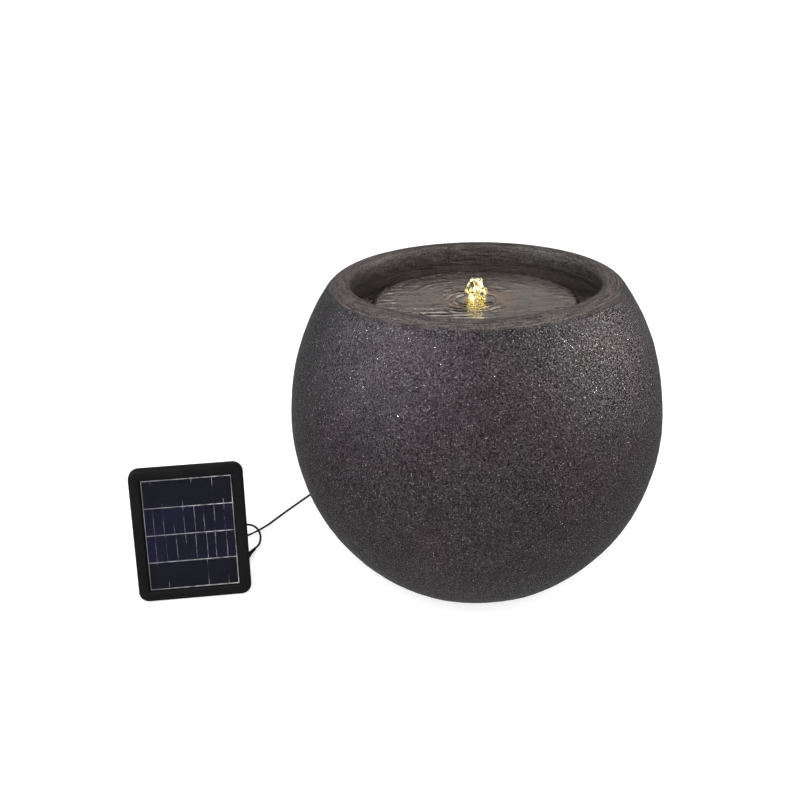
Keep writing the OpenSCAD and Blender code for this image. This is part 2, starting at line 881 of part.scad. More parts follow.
module box_screws() {
    color(STEEL)
    on_panel() {
        box_screw_rods(1.1, box_d - 7, box_d + cover_t);
        box_screw_rods(2.4, box_d + cover_t, box_d + cover_t + 1.4);
    }
}

cell_r = 9.1;
cell_len = 65;
battery_z = 98;
battery_y = 10.2;

module battery() {
    color([0.12, 0.32, 0.62])
    on_panel() {
        rod_x(cell_r, -cell_len / 2, cell_len / 2 - 1, battery_y, battery_z);
        rod_x(3, cell_len / 2 - 1, cell_len / 2, battery_y, battery_z);
    }
}

// Contact plates at the two ends of the battery.
module battery_contacts() {
    color(STEEL)
    on_panel() {
        translate([cell_len / 2, battery_y - 6, battery_z - 6]) cube([0.6, 12, 12]);
        translate([-cell_len / 2 - 2.6, battery_y - 6, battery_z - 6]) cube([0.6, 12, 12]);
        rod_x(4, -cell_len / 2 - 2, -cell_len / 2, battery_y, battery_z);
    }
}

// Charge board with its push switch, lamp and chip.
module control_board() {
    color(BOARD_GREEN)
    on_panel()
    difference() {
        union() {
            translate([-33, cb_y0, 111]) cube([66, cb_t, 22]);
            translate([button_at[0] - 3, cb_y0 + cb_t, button_at[1] - 3]) cube([6, switch_h, 6]);
            rod_y(1.5, cb_y0 + cb_t, cb_y0 + cb_t + 4, lens_at[0], lens_at[1]);
            translate([16, cb_y0 + cb_t, 117]) cube([6, 1.4, 5]);
        }
        for (x = [-board_post_x, board_post_x])
            rod_y(1.1, cb_y0 - 1, cb_y0 + 5, x, board_post_z);
    }
}

button_travel = 1.2;
button_slack = 0.1;
button_y0 = cb_y0 + cb_t + switch_h + button_travel + button_slack;

module power_button() {
    color(GREY)
    on_panel() {
        rod_y(5, button_y0 + 0.3, box_d + cover_t + 1.6, button_at[0], button_at[1]);
        rod_y(2, button_y0, button_y0 + 0.3, button_at[0], button_at[1]);
    }
}

module status_lens() {
    color(CLEAR)
    on_panel()
    rod_y(2.5, box_d, box_d + cover_t + 0.6, lens_at[0], lens_at[1]);
}

wire_routes = [
    [[-3, board_y + board_t, 112], [-2, -1, 112], [-1.5, 3, 112], [-2, 8, 114],
        [-6, 11, 117], [-8, cb_y0, 119]],
    [[3, board_y + board_t, 112], [2, -1, 112], [1.5, 3, 112], [2, 8, 115],
        [5, 11, 119], [6, cb_y0, 121]],
    [[34.2, battery_y, 104.2], [34.5, 9, 108], [33.5, 9, 112], [31, 11, 116], [30, cb_y0, 118]],
    [[-35, battery_y, 104.2], [-35.4, 9, 108], [-34.5, 9, 112], [-32, 11, 116],
        [-31, cb_y0, 118]]
];

module panel_wires() {
    color([0.7, 0.1, 0.08])
    on_panel()
    for (w = wire_routes) sweep(smooth_route(w, 2), 0.6, 8);
}

gland_drop = 13;

// Strain relief of the panel's lead, in the floor of the battery box.
module panel_gland() {
    color(BLACK)
    on_panel()
    translate([gland_x, gland_y, box_z0 - gland_drop])
    rotate_extrude($fn = 48)
    polygon([[0, 0], [1.8, 0], [2.8, gland_drop - 2.5], [4.5, gland_drop - 2.2],
        [4.5, gland_drop], [3, gland_drop], [3, gland_drop + 4], [0, gland_drop + 4]]);
}

plug_end = plug_at + (plug_tail + plug_len + socket_len) * [cos(plug_turn), sin(plug_turn), 0];
lead_route = [
    panel_point([gland_x, gland_y, box_z0 - gland_drop]),
    panel_point([gland_x, gland_y, box_z0 - gland_drop - 7]),
    panel_point([gland_x, gland_y + 0.8, 54]),
    panel_point([gland_x, gland_y + 2.5, 44]),
    panel_point([gland_x + 0.2, gland_y + 5.5, 34]),
    panel_point([gland_x + 0.3, gland_y + 11, 24.5]),
    panel_point([gland_x + 0.2, gland_y + 18.5, 16]),
    plug_end + [-4.4, -16, 2.4], plug_end + [-2.9, -9, -1], plug_end + [-1.3, -4, -0.3], plug_end
];

module panel_lead() {
    color(BLACK) sweep(smooth_route(lead_route, 3), cable_d / 2);
}

// ---- prop leg ----
leg_open = 25;
foot_r = 4;
hinge_h = hinge_z * cos(panel_lean) - hinge_y * sin(panel_lean);
leg_reach = (hinge_h - foot_r) / cos(leg_open - panel_lean);
leg_half = 24;
leg_foot_half = 17;
leg_t = 3;

// Folding leg: hinge barrel, tapered plate with a window, and a round foot.
module prop_leg() {
    color(BLACK)
    on_panel()
    translate([0, hinge_y, hinge_z])
    rotate([leg_open, 0, 0])
    difference() {
        union() {
            rod_x(barrel_r, -ear_x0 + 0.4, ear_x0 - 0.4);
            translate([0, leg_t / 2, 0])
            rotate([90, 0, 0])
            linear_extrude(leg_t)
            polygon([[-leg_half, 0], [leg_half, 0], [leg_foot_half, -leg_reach],
                [-leg_foot_half, -leg_reach]]);
            rod_x(foot_r, -leg_foot_half, leg_foot_half, 0, -leg_reach);
        }
        translate([-9, -5, -leg_reach + 14]) cube([18, 10, leg_reach - 30]);
        rod_x(pin_r + 0.05, -40, 40);
    }
}

module hinge_pin() {
    color(STEEL)
    on_panel() rod_x(pin_r, -ear_x1, ear_x1, hinge_y, hinge_z);
}

// ---- parts ----
bowl();
drain_plug();
bowl_gland();
gland_nut();
gland_washer();
dish();
dish_pads();
water_film();
water_jet();
pump_body();
pump_cap();
stator_core();
stator_coils();
pump_board();
volute_cover();
cover_seal();
shaft_bushes();
rotor_shaft();
rotor_magnet();
impeller();
strainer_base();
strainer_cage();
filter_foam();
flow_slider();
suction_cups();
riser_tube();
wire_clips();
nozzle();
led_housing();
led_board();
leds();
led_lens();
pump_lead();
led_wire();
cable_start();
cable_coil();
coil_tie();
power_cable();
cable_plug();
lead_socket();
panel_lead();
panel_frame();
panel_glass();
solar_cells();
cell_ribbons();
cell_board();
case_seal();
panel_back();
case_screws();
box_cover();
box_screws();
battery();
battery_contacts();
control_board();
panel_wires();
power_button();
status_lens();
panel_gland();
prop_leg();
hinge_pin();
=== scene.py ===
import math
import random

import bmesh
import bpy
from mathutils import Matrix, Vector, noise


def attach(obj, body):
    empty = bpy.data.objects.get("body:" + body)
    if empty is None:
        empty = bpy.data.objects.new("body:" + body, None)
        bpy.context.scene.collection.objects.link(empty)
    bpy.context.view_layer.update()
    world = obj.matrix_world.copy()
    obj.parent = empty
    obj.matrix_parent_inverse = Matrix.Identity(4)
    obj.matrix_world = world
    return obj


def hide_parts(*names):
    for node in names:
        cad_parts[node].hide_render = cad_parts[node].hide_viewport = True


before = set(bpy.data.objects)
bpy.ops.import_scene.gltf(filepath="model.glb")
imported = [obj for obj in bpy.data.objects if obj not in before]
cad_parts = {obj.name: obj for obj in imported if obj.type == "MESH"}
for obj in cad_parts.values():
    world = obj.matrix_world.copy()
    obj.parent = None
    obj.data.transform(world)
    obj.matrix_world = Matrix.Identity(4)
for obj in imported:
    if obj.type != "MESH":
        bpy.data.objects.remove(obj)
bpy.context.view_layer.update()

random.seed(7)
MM = 0.001

# The bowl, in millimetres: radius, widest level, half heights below and above it, wall.
BOWL_R, BELLY_Z, LOWER_H, UPPER_H, WALL = 200, 188, 210, 228, 9
BOWL_SIDES = 480


# ---- camera: at the photograph's viewing angle ----
camera_data = bpy.data.cameras.new("camera")
camera_data.sensor_width = 36
camera_data.lens = 54.71
CAMERA_AT, CAMERA_TURN, CAMERA_TILT, CAMERA_ROLL = (-0.0156, -1.2249, 0.7038), 3.105, -22.286, 1.403
camera = bpy.data.objects.new("camera", camera_data)
camera.matrix_world = (
    Matrix.Translation(CAMERA_AT)
    @ Matrix.Rotation(math.radians(CAMERA_TURN), 4, "Z")
    @ Matrix.Rotation(math.radians(CAMERA_TILT), 4, "X")
    @ Matrix.Rotation(math.radians(CAMERA_ROLL), 4, "Y")
    @ Matrix.Rotation(math.radians(90), 4, "X")
)
bpy.context.collection.objects.link(camera)
bpy.context.scene.camera = camera


# ---- materials ----
class Look:
    """One procedural material, built node by node on the Principled shader."""

    def __init__(self, name, **sockets):
        self.material = bpy.data.materials.new(name)
        self.material.use_nodes = True
        self.tree = self.material.node_tree
        self.shader = self.tree.nodes["Principled BSDF"]
        self.place = self.node("ShaderNodeTexCoord").outputs["Object"]
        for socket, value in sockets.items():
            self.set(socket.replace("_", " "), value)

    def node(self, kind, **settings):
        made = self.tree.nodes.new(kind)
        for key, value in settings.items():
            setattr(made, key, value)
        return made

    def feed(self, socket, value):
        if isinstance(value, bpy.types.NodeSocket):
            self.tree.links.new(value, socket)
        else:
            color = isinstance(value, tuple) and len(value) == 3
            socket.default_value = (*value, 1) if color else value

    def set(self, name, value):
        self.feed(self.shader.inputs[name], value)

    def stretch(self, factors, turn=(0, 0, 0)):
        """The place, scaled along each axis."""
        made = self.node("ShaderNodeMapping")
        made.inputs["Scale"].default_value = factors
        made.inputs["Rotation"].default_value = turn
        self.feed(made.inputs["Vector"], self.place)
        return made.outputs["Vector"]

    def noise(self, scale, detail=3.0, rough=0.55, at=None, warp=0.0):
        made = self.node("ShaderNodeTexNoise")
        self.feed(made.inputs["Vector"], at or self.place)
        settings = {"Scale": scale, "Detail": detail, "Roughness": rough, "Distortion": warp}
        for key, value in settings.items():
            made.inputs[key].default_value = value
        return made.outputs["Fac"]

    def cells(self, scale, output="Distance", at=None, feature="F1", jitter=1.0):
        made = self.node("ShaderNodeTexVoronoi", feature=feature)
        self.feed(made.inputs["Vector"], at or self.place)
        made.inputs["Scale"].default_value = scale
        made.inputs["Randomness"].default_value = jitter
        return made.outputs[output]

    def span(self, value, low, high, to_low=0.0, to_high=1.0):
        """The value from low to high, taken to another range and clamped."""
        made = self.node("ShaderNodeMapRange")
        self.feed(made.inputs["Value"], value)
        ends = {"From Min": low, "From Max": high, "To Min": to_low, "To Max": to_high}
        for key, number in ends.items():
            self.feed(made.inputs[key], number)
        return made.outputs["Result"]

    def math(self, operation, a, b=0.0):
        made = self.node("ShaderNodeMath", operation=operation)
        self.feed(made.inputs[0], a)
        self.feed(made.inputs[1], b)
        return made.outputs[0]

    def times(self, a, b):
        return self.math("MULTIPLY", a, b)

    def plus(self, a, b):
        return self.math("ADD", a, b)

    def mix(self, share, a, b):
        made = self.node("ShaderNodeMix", data_type="RGBA")
        self.feed(made.inputs["Factor"], share)
        for socket, value in ((made.inputs[6], a), (made.inputs[7], b)):
            self.feed(socket, value)
        return made.outputs[2]

    def shaded(self, color, factor):
        """The colour times a factor."""
        made = self.node("ShaderNodeMix", data_type="RGBA", blend_type="MULTIPLY")
        made.inputs["Factor"].default_value = 1.0
        self.feed(made.inputs[6], color)
        made.inputs[7].default_value = (factor, factor, factor, 1)
        return made.outputs[2]

    def axis(self, name):
        made = self.node("ShaderNodeSeparateXYZ")
        self.feed(made.inputs[0], self.place)
        return made.outputs[name]

    def reach(self):
        """Distance from the upright axis through the origin."""
        squares = [self.times(self.axis(name), self.axis(name)) for name in "XY"]
        return self.math("SQRT", self.plus(*squares))

    def ringed(self, around, across):
        """Coordinates that run round the upright axis: stretched along the turn, fine across it."""
        split = [self.axis(name) for name in "XYZ"]
        turn = self.math("ARCTAN2", split[1], split[0])
        made = self.node("ShaderNodeCombineXYZ")
        scaled = (self.times(turn, float(around)), self.times(self.reach(), float(across)),
                  self.times(split[2], float(across)))
        for socket, value in zip(made.inputs, scaled):
            self.feed(socket, value)
        return made.outputs[0]

    def bump(self, height, depth, strength=1.0, under=None):
        made = self.node("ShaderNodeBump")
        made.inputs["Strength"].default_value = strength
        made.inputs["Distance"].default_value = depth
        self.feed(made.inputs["Height"], height)
        if under is not None:
            self.feed(made.inputs["Normal"], under)
        return made.outputs["Normal"]

    def rounded(self, radius):
        """Normals that round every sharp edge."""
        made = self.node("ShaderNodeBevel", samples=4)
        made.inputs["Radius"].default_value = radius
        return made.outputs["Normal"]

    def edge(self, radius):
        """1 on worn outer edges, 0 on flat faces."""
        bevel = self.rounded(radius)
        flat = self.node("ShaderNodeNewGeometry").outputs["Normal"]
        dot = self.node("ShaderNodeVectorMath", operation="DOT_PRODUCT")
        self.feed(dot.inputs[0], bevel)
        self.feed(dot.inputs[1], flat)
        return self.span(dot.outputs["Value"], 0.98, 0.75), bevel


def shade(color, factor):
    return tuple(min(1.0, c * factor) for c in color)


def plastic(name, color, rough=0.5, grain=1400.0, depth=0.00006, level=0.3, edge=0.0006, wear=1.7):
    """Moulded plastic or rubber: fine texture, patchy gloss, slightly paler worn edges."""
    look = Look(name, Specular_IOR_Level=level)
    patch = look.noise(26, 4)
    fine = look.noise(grain, 2)
    worn, bevel = look.edge(edge)
    scuff = look.times(worn, look.span(look.noise(160, 4), 0.35, 0.7))
    body = look.mix(look.span(patch, 0.3, 0.7), shade(color, 0.8), shade(color, 1.2))
    look.set("Base Color", look.mix(look.times(scuff, 0.6), body, shade(color, wear)))
    look.set("Roughness", look.span(patch, 0.3, 0.7, rough - 0.07, rough + 0.08))
    look.set("Normal", look.bump(fine, depth, 1.0, bevel))
    return look.material


def metal(name, color, rough=0.3, lines=(40, 40, 2200), dark=0.6):
    """Drawn or brushed metal with faint tarnish."""
    look = Look(name, Metallic=1.0)
    grain = look.noise(1.0, 3, at=look.stretch(lines))
    tarnish = look.noise(70, 4)
    _, bevel = look.edge(0.0003)
    look.set("Base Color", look.mix(look.span(tarnish, 0.4, 0.75), color, shade(color, dark)))
    look.set("Roughness", look.span(tarnish, 0.3, 0.7, rough - 0.06, rough + 0.14))
    look.set("Normal", look.bump(grain, 0.00003, 0.6, bevel))
    return look.material


# ---- cast stone of the bowl and the dish; heights in metres ----
LIP_Z = 0.3335                        # where the gritty body meets the smooth lip
WALL_TOP, WALL_DAMP_AND_SHADE = 0.3335, 0.3300  # between these the lip turns into the inner wall, wet and darkened with painted shade
WATERLINE, WATERLINE_LOW = 0.322, 0.309
DAMP_AND_SHADE, PAINTED_WATERLINE_LIGHT = 0.62, 2.3               # how dark the wet wall is with its painted shade, and how much painted light lifts it at the waterline


def gritty_color(look, body_a, body_b, grit, pebble):
    """Body colour: slow tints, clouds, and dark gaps between the grains."""
    tint = look.noise(9, 3, 0.5)
    cloud = look.noise(30, 4, 0.6, warp=0.6)
    base = look.mix(look.span(tint, 0.38, 0.62), body_a, body_b)
    base = look.mix(look.span(cloud, 0.35, 0.75), look.shaded(base, 0.86), look.shaded(base, 1.2))
    base = look.mix(look.span(grit, 0.42, 0.60), look.shaded(base, 0.35), look.shaded(base, 1.5))
    return look.mix(look.span(pebble, 0.36, 0.47), look.shaded(base, 0.42), base)


def mica(look, height):
    """Sparse flakes, each in its own cell and of its own brightness: their share and colour."""
    density = 560
    pick = look.node("ShaderNodeSeparateColor")
    look.feed(pick.inputs[0], look.cells(density, "Color"))
    chosen = look.span(pick.outputs[0], 0.83, 0.86)
    # Painted shade: fewer flakes towards the bottom, where less light falls; the noise patches are the stone's
    # own.
    patchy = look.times(look.span(look.noise(60, 3), 0.42, 0.60, 0.25, 1.0),
                        look.span(height, 0.10, 0.24, 0.45, 1.0))
    flake = look.times(look.times(look.span(look.cells(density), 0.27, 0.18), chosen), patchy)
    return flake, look.mix(pick.outputs[1], (0.20, 0.195, 0.195), (0.90, 0.88, 0.87))


def inner_wall(look, height):
    """1 on the inside of the bowl's wall: well within the outer ellipse, above the middle."""
    rise = look.math("DIVIDE", look.math("SUBTRACT", height, BELLY_Z * MM), UPPER_H * MM)
    outer = look.math("SQRT", look.math("SUBTRACT", 1.0, look.times(rise, rise)))
    depth = look.math("SUBTRACT", look.times(outer, BOWL_R * MM), look.reach())
    return look.times(look.span(depth, 0.0042, 0.0058), look.span(height, 0.22, 0.24))


def smooth_stone(look, height, inside, lip_a, lip_b, streak, soft):
    """Lip and inner wall: streaks round the rim, small pits, a wet inner wall darkened with painted shade,
    painted shade on the far side, painted light at the waterline.
    """
    pits = look.span(look.noise(620, 2, 0.6), 0.34, 0.42)
    color = look.mix(look.span(streak, 0.39, 0.61), lip_a, lip_b)
    color = look.mix(look.span(soft, 0.40, 0.60), look.shaded(color, 0.55), look.shaded(color, 1.45))
    color = look.mix(pits, look.shaded(color, 0.55), color)
    # Painted shade: the far side of the lip and wall is darker, as is the wet inner wall below its top.
    painted_shade_far_side = look.span(look.axis("Y"), 0.05, 0.13)
    damp_and_shade = look.math("MAXIMUM", look.times(inside, look.span(height, WALL_TOP, WALL_DAMP_AND_SHADE)), painted_shade_far_side)
    # Painted light at the waterline; painted shade and wetness above it.
    wall = look.mix(look.span(height, WATERLINE, WATERLINE_LOW),
                    look.shaded(color, DAMP_AND_SHADE), look.shaded(color, PAINTED_WATERLINE_LIGHT))
    return look.mix(damp_and_shade, color, wall)


def lamp_lit(look, color):
    """The dish, with painted light: paler towards the back right, and an amber glow round the lamp."""
    # Painted light: an amber glow from the lamp.
    color = look.mix(look.span(look.reach(), 0.050, 0.012), color, (0.20, 0.085, 0.018))
    # Painted light: paler towards the back right.
    painted_light_back_right = look.plus(look.axis("Y"), look.times(look.axis("X"), 0.5))
    return look.mix(look.span(painted_light_back_right, 0.02, 0.10), color, look.shaded(color, 3.0))


def stone(name, body_a, body_b, lip_a, lip_b, lip_all=False):
    """Cast stone: gritty with mica below the lip, smooth above it, or smooth all over."""
    look = Look(name, Specular_Tint=(1.0, 0.90, 0.93, 1.0))
    height = look.axis("Z")
    grit = look.noise(680, 2, 0.6)
    pebble = look.noise(430, 2, 0.55, warp=0.3)
    streak = look.noise(1.0, 4, 0.65, at=look.ringed(7, 620))
    soft = look.noise(480, 3, 0.6)
    base = gritty_color(look, body_a, body_b, grit, pebble)
    flake, glitter = mica(look, height)
    inside = inner_wall(look, height)
    if lip_all:
        lip = look.span(height, -1.0, -0.5)
    else:
        wander = look.span(look.noise(45, 3), 0.3, 0.7, -0.0012, 0.0012)
        lip = look.span(look.plus(height, wander), LIP_Z - 0.0016, LIP_Z + 0.0016)
        lip = look.math("MAXIMUM", lip, inside)
    color = look.mix(lip, base, smooth_stone(look, height, inside, lip_a, lip_b, streak, soft))
    if lip_all:
        color = lamp_lit(look, color)
    polished = look.math("SUBTRACT", lip, look.times(inside, 0.45))
    flake = look.times(flake, look.span(polished, 0.0, 1.0, 1.0, 0.12))
    look.set("Base Color", look.mix(flake, color, glitter))
    look.set("Metallic", look.times(flake, 0.9))
    rough_body = look.span(look.noise(120, 3), 0.3, 0.7, 0.12, 0.26)
    rough_lip = look.span(soft, 0.3, 0.7, 0.42, 0.58)
    look.set("Roughness", look.plus(look.times(rough_body, look.span(lip, 0.0, 1.0, 1.0, 0.0)),
                                    look.times(rough_lip, lip)))
    look.set("Specular IOR Level", look.span(grit, 0.40, 0.60, 0.18, 1.0))
    relief = look.plus(look.plus(pebble, look.noise(200, 3, 0.6, warp=0.8)), look.times(grit, 0.45))
    bumped = look.bump(look.times(relief, look.span(lip, 0.0, 1.0, 1.0, 0.30)), 0.0013)
    look.set("Normal", look.bump(look.times(streak, lip), 0.0009, 0.9, bumped))
    return look.material


bowl_look = stone("cast stone", (0.0288, 0.0212, 0.0244), (0.0225, 0.0216, 0.0226),
                  (0.024, 0.0200, 0.0190), (0.092, 0.077, 0.070))
dish_look = stone("wet dish stone", (0.020, 0.016, 0.014), (0.018, 0.016, 0.014),
                  (0.016, 0.012, 0.010), (0.024, 0.019, 0.016), lip_all=True)


def water_look():
    look = Look("water", Transmission_Weight=1.0, IOR=1.333)
    swirl = look.noise(22, 4)
    look.set("Base Color", look.mix(look.span(swirl, 0.3, 0.7),
                                    (0.86, 0.83, 0.80), (0.95, 0.94, 0.92)))
    look.set("Roughness", look.span(swirl, 0.3, 0.7, 0.01, 0.05))
    look.set("Normal", look.bump(look.noise(1.0, 2, at=look.stretch((30, 130, 110))), 0.00035, 0.5))
    return look.material


def jet_look():
    """Water lit from below, as painted light: glowing bright ridges, amber between them, and dark hollows."""
    look = Look("lit water", Transmission_Weight=0.4, IOR=1.333, Roughness=0.03)
    lumps = look.noise(230, 2, 0.5, warp=1.0)
    from_middle = look.math("SUBTRACT", look.noise(210, 3, 0.6, warp=1.8), 0.5)
    ridge = look.span(look.math("ABSOLUTE", from_middle), 0.038, 0.008)
    glow = look.math("MAXIMUM", look.span(lumps, 0.50, 0.60), look.times(ridge, 0.7))
    look.set("Base Color", look.mix(glow, (0.10, 0.070, 0.020), (1.0, 0.93, 0.62)))
    warm = look.mix(look.span(glow, 0.0, 0.45), (0.36, 0.22, 0.03), (0.85, 0.62, 0.08))
    # Painted light: paler towards the top and dimmer low down.
    pale = look.mix(look.span(look.axis("Z"), 0.316, 0.326), (0.95, 0.72, 0.12), (1.0, 0.93, 0.66))
    look.set("Emission Color", look.mix(look.span(glow, 0.35, 0.85), warm, pale))
    low = look.span(look.axis("Z"), 0.324, 0.316)
    look.set("Emission Strength", look.times(look.span(glow, 0.0, 1.0, 0.16, 1.3),
                                            look.span(low, 0.0, 1.0, 1.0, 0.55)))
    look.set("Normal", look.bump(lumps, 0.0012, 0.8))
    return look.material


water = water_look()
jet_water = jet_look()


def cell_look():
    """Blue-black silicon, less blue in the top and bottom strips."""
    look = Look("silicon", Specular_IOR_Level=0.08)
    grain = look.cells(240, "Color")
    pick = look.node("ShaderNodeSeparateColor")
    look.feed(pick.inputs[0], grain)
    patch = look.noise(18, 3)
    dark = look.mix(look.span(patch, 0.38, 0.62),
                    (0.0068, 0.0068, 0.0135), (0.0085, 0.0085, 0.0250))
    blue = look.mix(look.times(pick.outputs[0], 0.2), dark, (0.007, 0.009, 0.034))
    height = look.axis("Z")
    outer = look.math("MAXIMUM", look.span(height, 0.046, 0.043), look.span(height, 0.105, 0.108))
    look.set("Base Color", look.mix(look.times(outer, 0.8),
                                    blue, (0.0064, 0.0066, 0.0100)))
    look.set("Roughness", look.span(patch, 0.3, 0.7, 0.45, 0.6))
    look.set("Normal", look.bump(look.noise(900, 2), 0.00003, 0.5))
    return look.material


def silver_look(name, low, high, break_up):
    """Printed silver with painted sheen: dull at one side of the panel, brighter at the other, broken by
    break_up.
    """
    look = Look(name, Metallic=0.2)
    along = look.noise(1.0, 3, 0.6, at=look.stretch((130, 130, 42)))
    # Painted sheen: brighter towards one side of the panel.
    side = look.span(look.axis("X"), -0.365, -0.255)
    painted_sheen = look.times(look.span(along, 0.5 - break_up, 0.5 + break_up),
                      look.span(side, 0.0, 1.0, 0.30, 1.0))
    look.set("Base Color", look.mix(painted_sheen, low, high))
    look.set("Roughness", look.span(along, 0.3, 0.7, 0.35, 0.55))
    look.set("Normal", look.bump(look.noise(1500, 2), 0.00002, 0.5))
    return look.material


def pane_look():
    """A thin clear sheet: it shows only a little gloss and haze."""
    look = Look("clear cover", Specular_IOR_Level=0.5, Alpha=0.12)
    haze = look.noise(35, 4)
    look.set("Base Color", look.mix(look.span(haze, 0.3, 0.7),
                                    (0.004, 0.004, 0.006), (0.007, 0.007, 0.011)))
    look.set("Roughness", look.span(haze, 0.3, 0.7, 0.05, 0.12))
    look.set("Normal", look.bump(look.noise(60, 2), 0.00005, 0.3))
    return look.material


def board_look(name, base, trace):
    """Circuit board: solder mask over copper traces."""
    look = Look(name, Specular_IOR_Level=0.45)
    lines = look.noise(1.0, 2, 0.4, at=look.stretch((330, 330, 60)))
    track = look.span(look.math("ABSOLUTE", look.math("SUBTRACT", lines, 0.5)), 0.045, 0.02)
    look.set("Base Color", look.mix(track, base, trace))
    look.set("Roughness", look.span(look.noise(80, 3), 0.3, 0.7, 0.28, 0.42))
    look.set("Normal", look.bump(track, 0.00004, 0.7))
    return look.material


def copper_look():
    """Enamelled wire, wound in turns."""
    look = Look("enamelled copper", Metallic=0.85)
    wind = look.noise(1.0, 1, 0.4, at=look.stretch((200, 3200, 200)))
    look.set("Base Color", look.mix(look.span(wind, 0.35, 0.65),
                                    (0.40, 0.13, 0.04), (0.72, 0.30, 0.11)))
    look.set("Roughness", look.span(wind, 0.3, 0.7, 0.22, 0.4))
    look.set("Normal", look.bump(wind, 0.0003, 0.8))
    return look.material


def foam_look():
    """Open foam: dark pores between pale struts."""
    look = Look("filter foam", Specular_IOR_Level=0.15)
    pores = look.cells(420)
    look.set("Base Color", look.mix(look.span(pores, 0.1, 0.5),
                                    (0.010, 0.011, 0.012), (0.055, 0.058, 0.062)))
    look.set("Roughness", look.span(pores, 0.1, 0.5, 0.75, 0.95))
    look.set("Normal", look.bump(pores, 0.0012, 1.0))
    return look.material


def ceramic_look(name, color, rough):
    """Fired or sintered, with fine darker specks."""
    look = Look(name, Specular_IOR_Level=0.5)
    speck = look.noise(700, 3)
    look.set("Base Color", look.mix(look.span(speck, 0.4, 0.75), color, shade(color, 0.82)))
    look.set("Roughness", look.span(speck, 0.3, 0.7, rough, rough + 0.12))
    look.set("Normal", look.bump(speck, 0.00003, 0.6))
    return look.material


def lens_look(name, tint, glow=None, strength=0.0, lit_to=None):
    """Clear plastic with some haze; it may glow, all over or out to the radius lit_to."""
    look = Look(name, Transmission_Weight=0.8, IOR=1.46)
    haze = look.noise(120, 3)
    look.set("Base Color", look.mix(look.span(haze, 0.3, 0.7), shade(tint, 0.85), tint))
    look.set("Roughness", look.span(haze, 0.3, 0.7, 0.12, 0.25))
    look.set("Normal", look.bump(haze, 0.00004, 0.5))
    if glow:
        look.set("Emission Color", look.mix(look.span(haze, 0.3, 0.7), shade(glow, 0.8), glow))
        if lit_to:
            strength = look.span(look.reach(), lit_to, 0.007, 0.0, strength)
        look.set("Emission Strength", strength)
    return look.material


black = plastic("black plastic", (0.0062, 0.0061, 0.0060), 0.50, level=0.20)
case_black = plastic("textured black plastic", (0.0046, 0.0045, 0.0044), 0.56, 900, 0.00010, 0.18,
                     0.0007, 2.4)
grey_plastic = plastic("grey plastic", (0.085, 0.088, 0.095), 0.45, level=0.35)
dark_rubber = plastic("rubber", (0.0070, 0.0070, 0.0070), 0.68, 1900, 0.00005, 0.22, 0.0004, 1.5)
cable_skin = plastic("cable sheath", (0.0032, 0.0030, 0.0032), 0.42, 2200, 0.00003, 0.22,
                     0.0002, 1.3)
white_plastic = plastic("white plastic", (0.62, 0.61, 0.58), 0.42, level=0.4, wear=1.1)
steel = metal("steel", (0.56, 0.56, 0.57), 0.28)
core_steel = metal("core sheets", (0.34, 0.34, 0.36), 0.40, (3200, 40, 40))
magnet = ceramic_look("ferrite", (0.045, 0.045, 0.050), 0.45)
ceramic = ceramic_look("ceramic", (0.78, 0.77, 0.74), 0.22)
copper = copper_look()
foam = foam_look()
green_board = board_look("green board", (0.010, 0.085, 0.030), (0.030, 0.190, 0.070))
white_board = board_look("white board", (0.66, 0.66, 0.62), (0.50, 0.46, 0.34))
cells = cell_look()
ribbon_silver = silver_look("ribbon silver", (0.14, 0.135, 0.155), (0.80, 0.77, 0.82), 0.14)
finger_silver = silver_look("finger silver", (0.010, 0.010, 0.026), (0.95, 0.90, 0.92), 0.06)
pane = pane_look()
lamp_lens = lens_look("lit lamp lens", (0.30, 0.26, 0.20), (1.0, 0.56, 0.10), 0.5, 0.015)
led_amber = lens_look("led", (1.0, 0.80, 0.40), (1.0, 0.62, 0.16), 0.5)
status_window = lens_look("status window", (0.75, 0.80, 0.82))
battery_wrap = plastic("battery wrap", (0.030, 0.130, 0.420), 0.32, level=0.5)
red_wire = plastic("red wire", (0.42, 0.020, 0.015), 0.45)


# ---- mesh helpers ----
def linked(name, data):
    """A new object in the scene."""
    made = bpy.data.objects.new(name, data)
    bpy.context.collection.objects.link(made)
    return made


def raw_mesh(name, verts, faces):
    mesh = bpy.data.meshes.new(name)
    mesh.from_pydata([tuple(v) for v in verts], [], faces)
    return mesh


def outward(mesh):
    """Turn every face of a closed mesh outwards."""
    work = bmesh.new()
    work.from_mesh(mesh)
    bmesh.ops.recalc_face_normals(work, faces=work.faces)
    work.to_mesh(mesh)
    work.free()


def finish_mesh(name, verts, faces, material, body="root", slot=None, sharp=35):
    """A closed mesh piece on a body, smooth but for its sharp edges."""
    mesh = raw_mesh(name, verts, faces)
    mesh.validate()
    return finish_piece(name, mesh, material, body, sharp)


def finish_piece(name, mesh, material, body="root", sharp=35):
    """A piece from a mesh: shading, material and body."""
    outward(mesh)
    mesh.shade_smooth()
    mesh.set_sharp_from_angle(angle=math.radians(sharp))
    mesh.materials.clear()
    mesh.materials.append(material)
    piece = linked(name, mesh)
    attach(piece, body)
    return piece


def bridged(rings, around):
    """Faces from each ring of vertex numbers to the next. A ring of one is a pole."""
    faces = []
    for a, b in zip(rings, rings[1:]):
        for k in range(around):
            j = (k + 1) % around
            if len(a) == 1:
                faces.append((a[0], b[j], b[k]))
            elif len(b) == 1:
                faces.append((a[k], a[j], b[0]))
            else:
                faces.append((a[k], a[j], b[j], b[k]))
    return faces


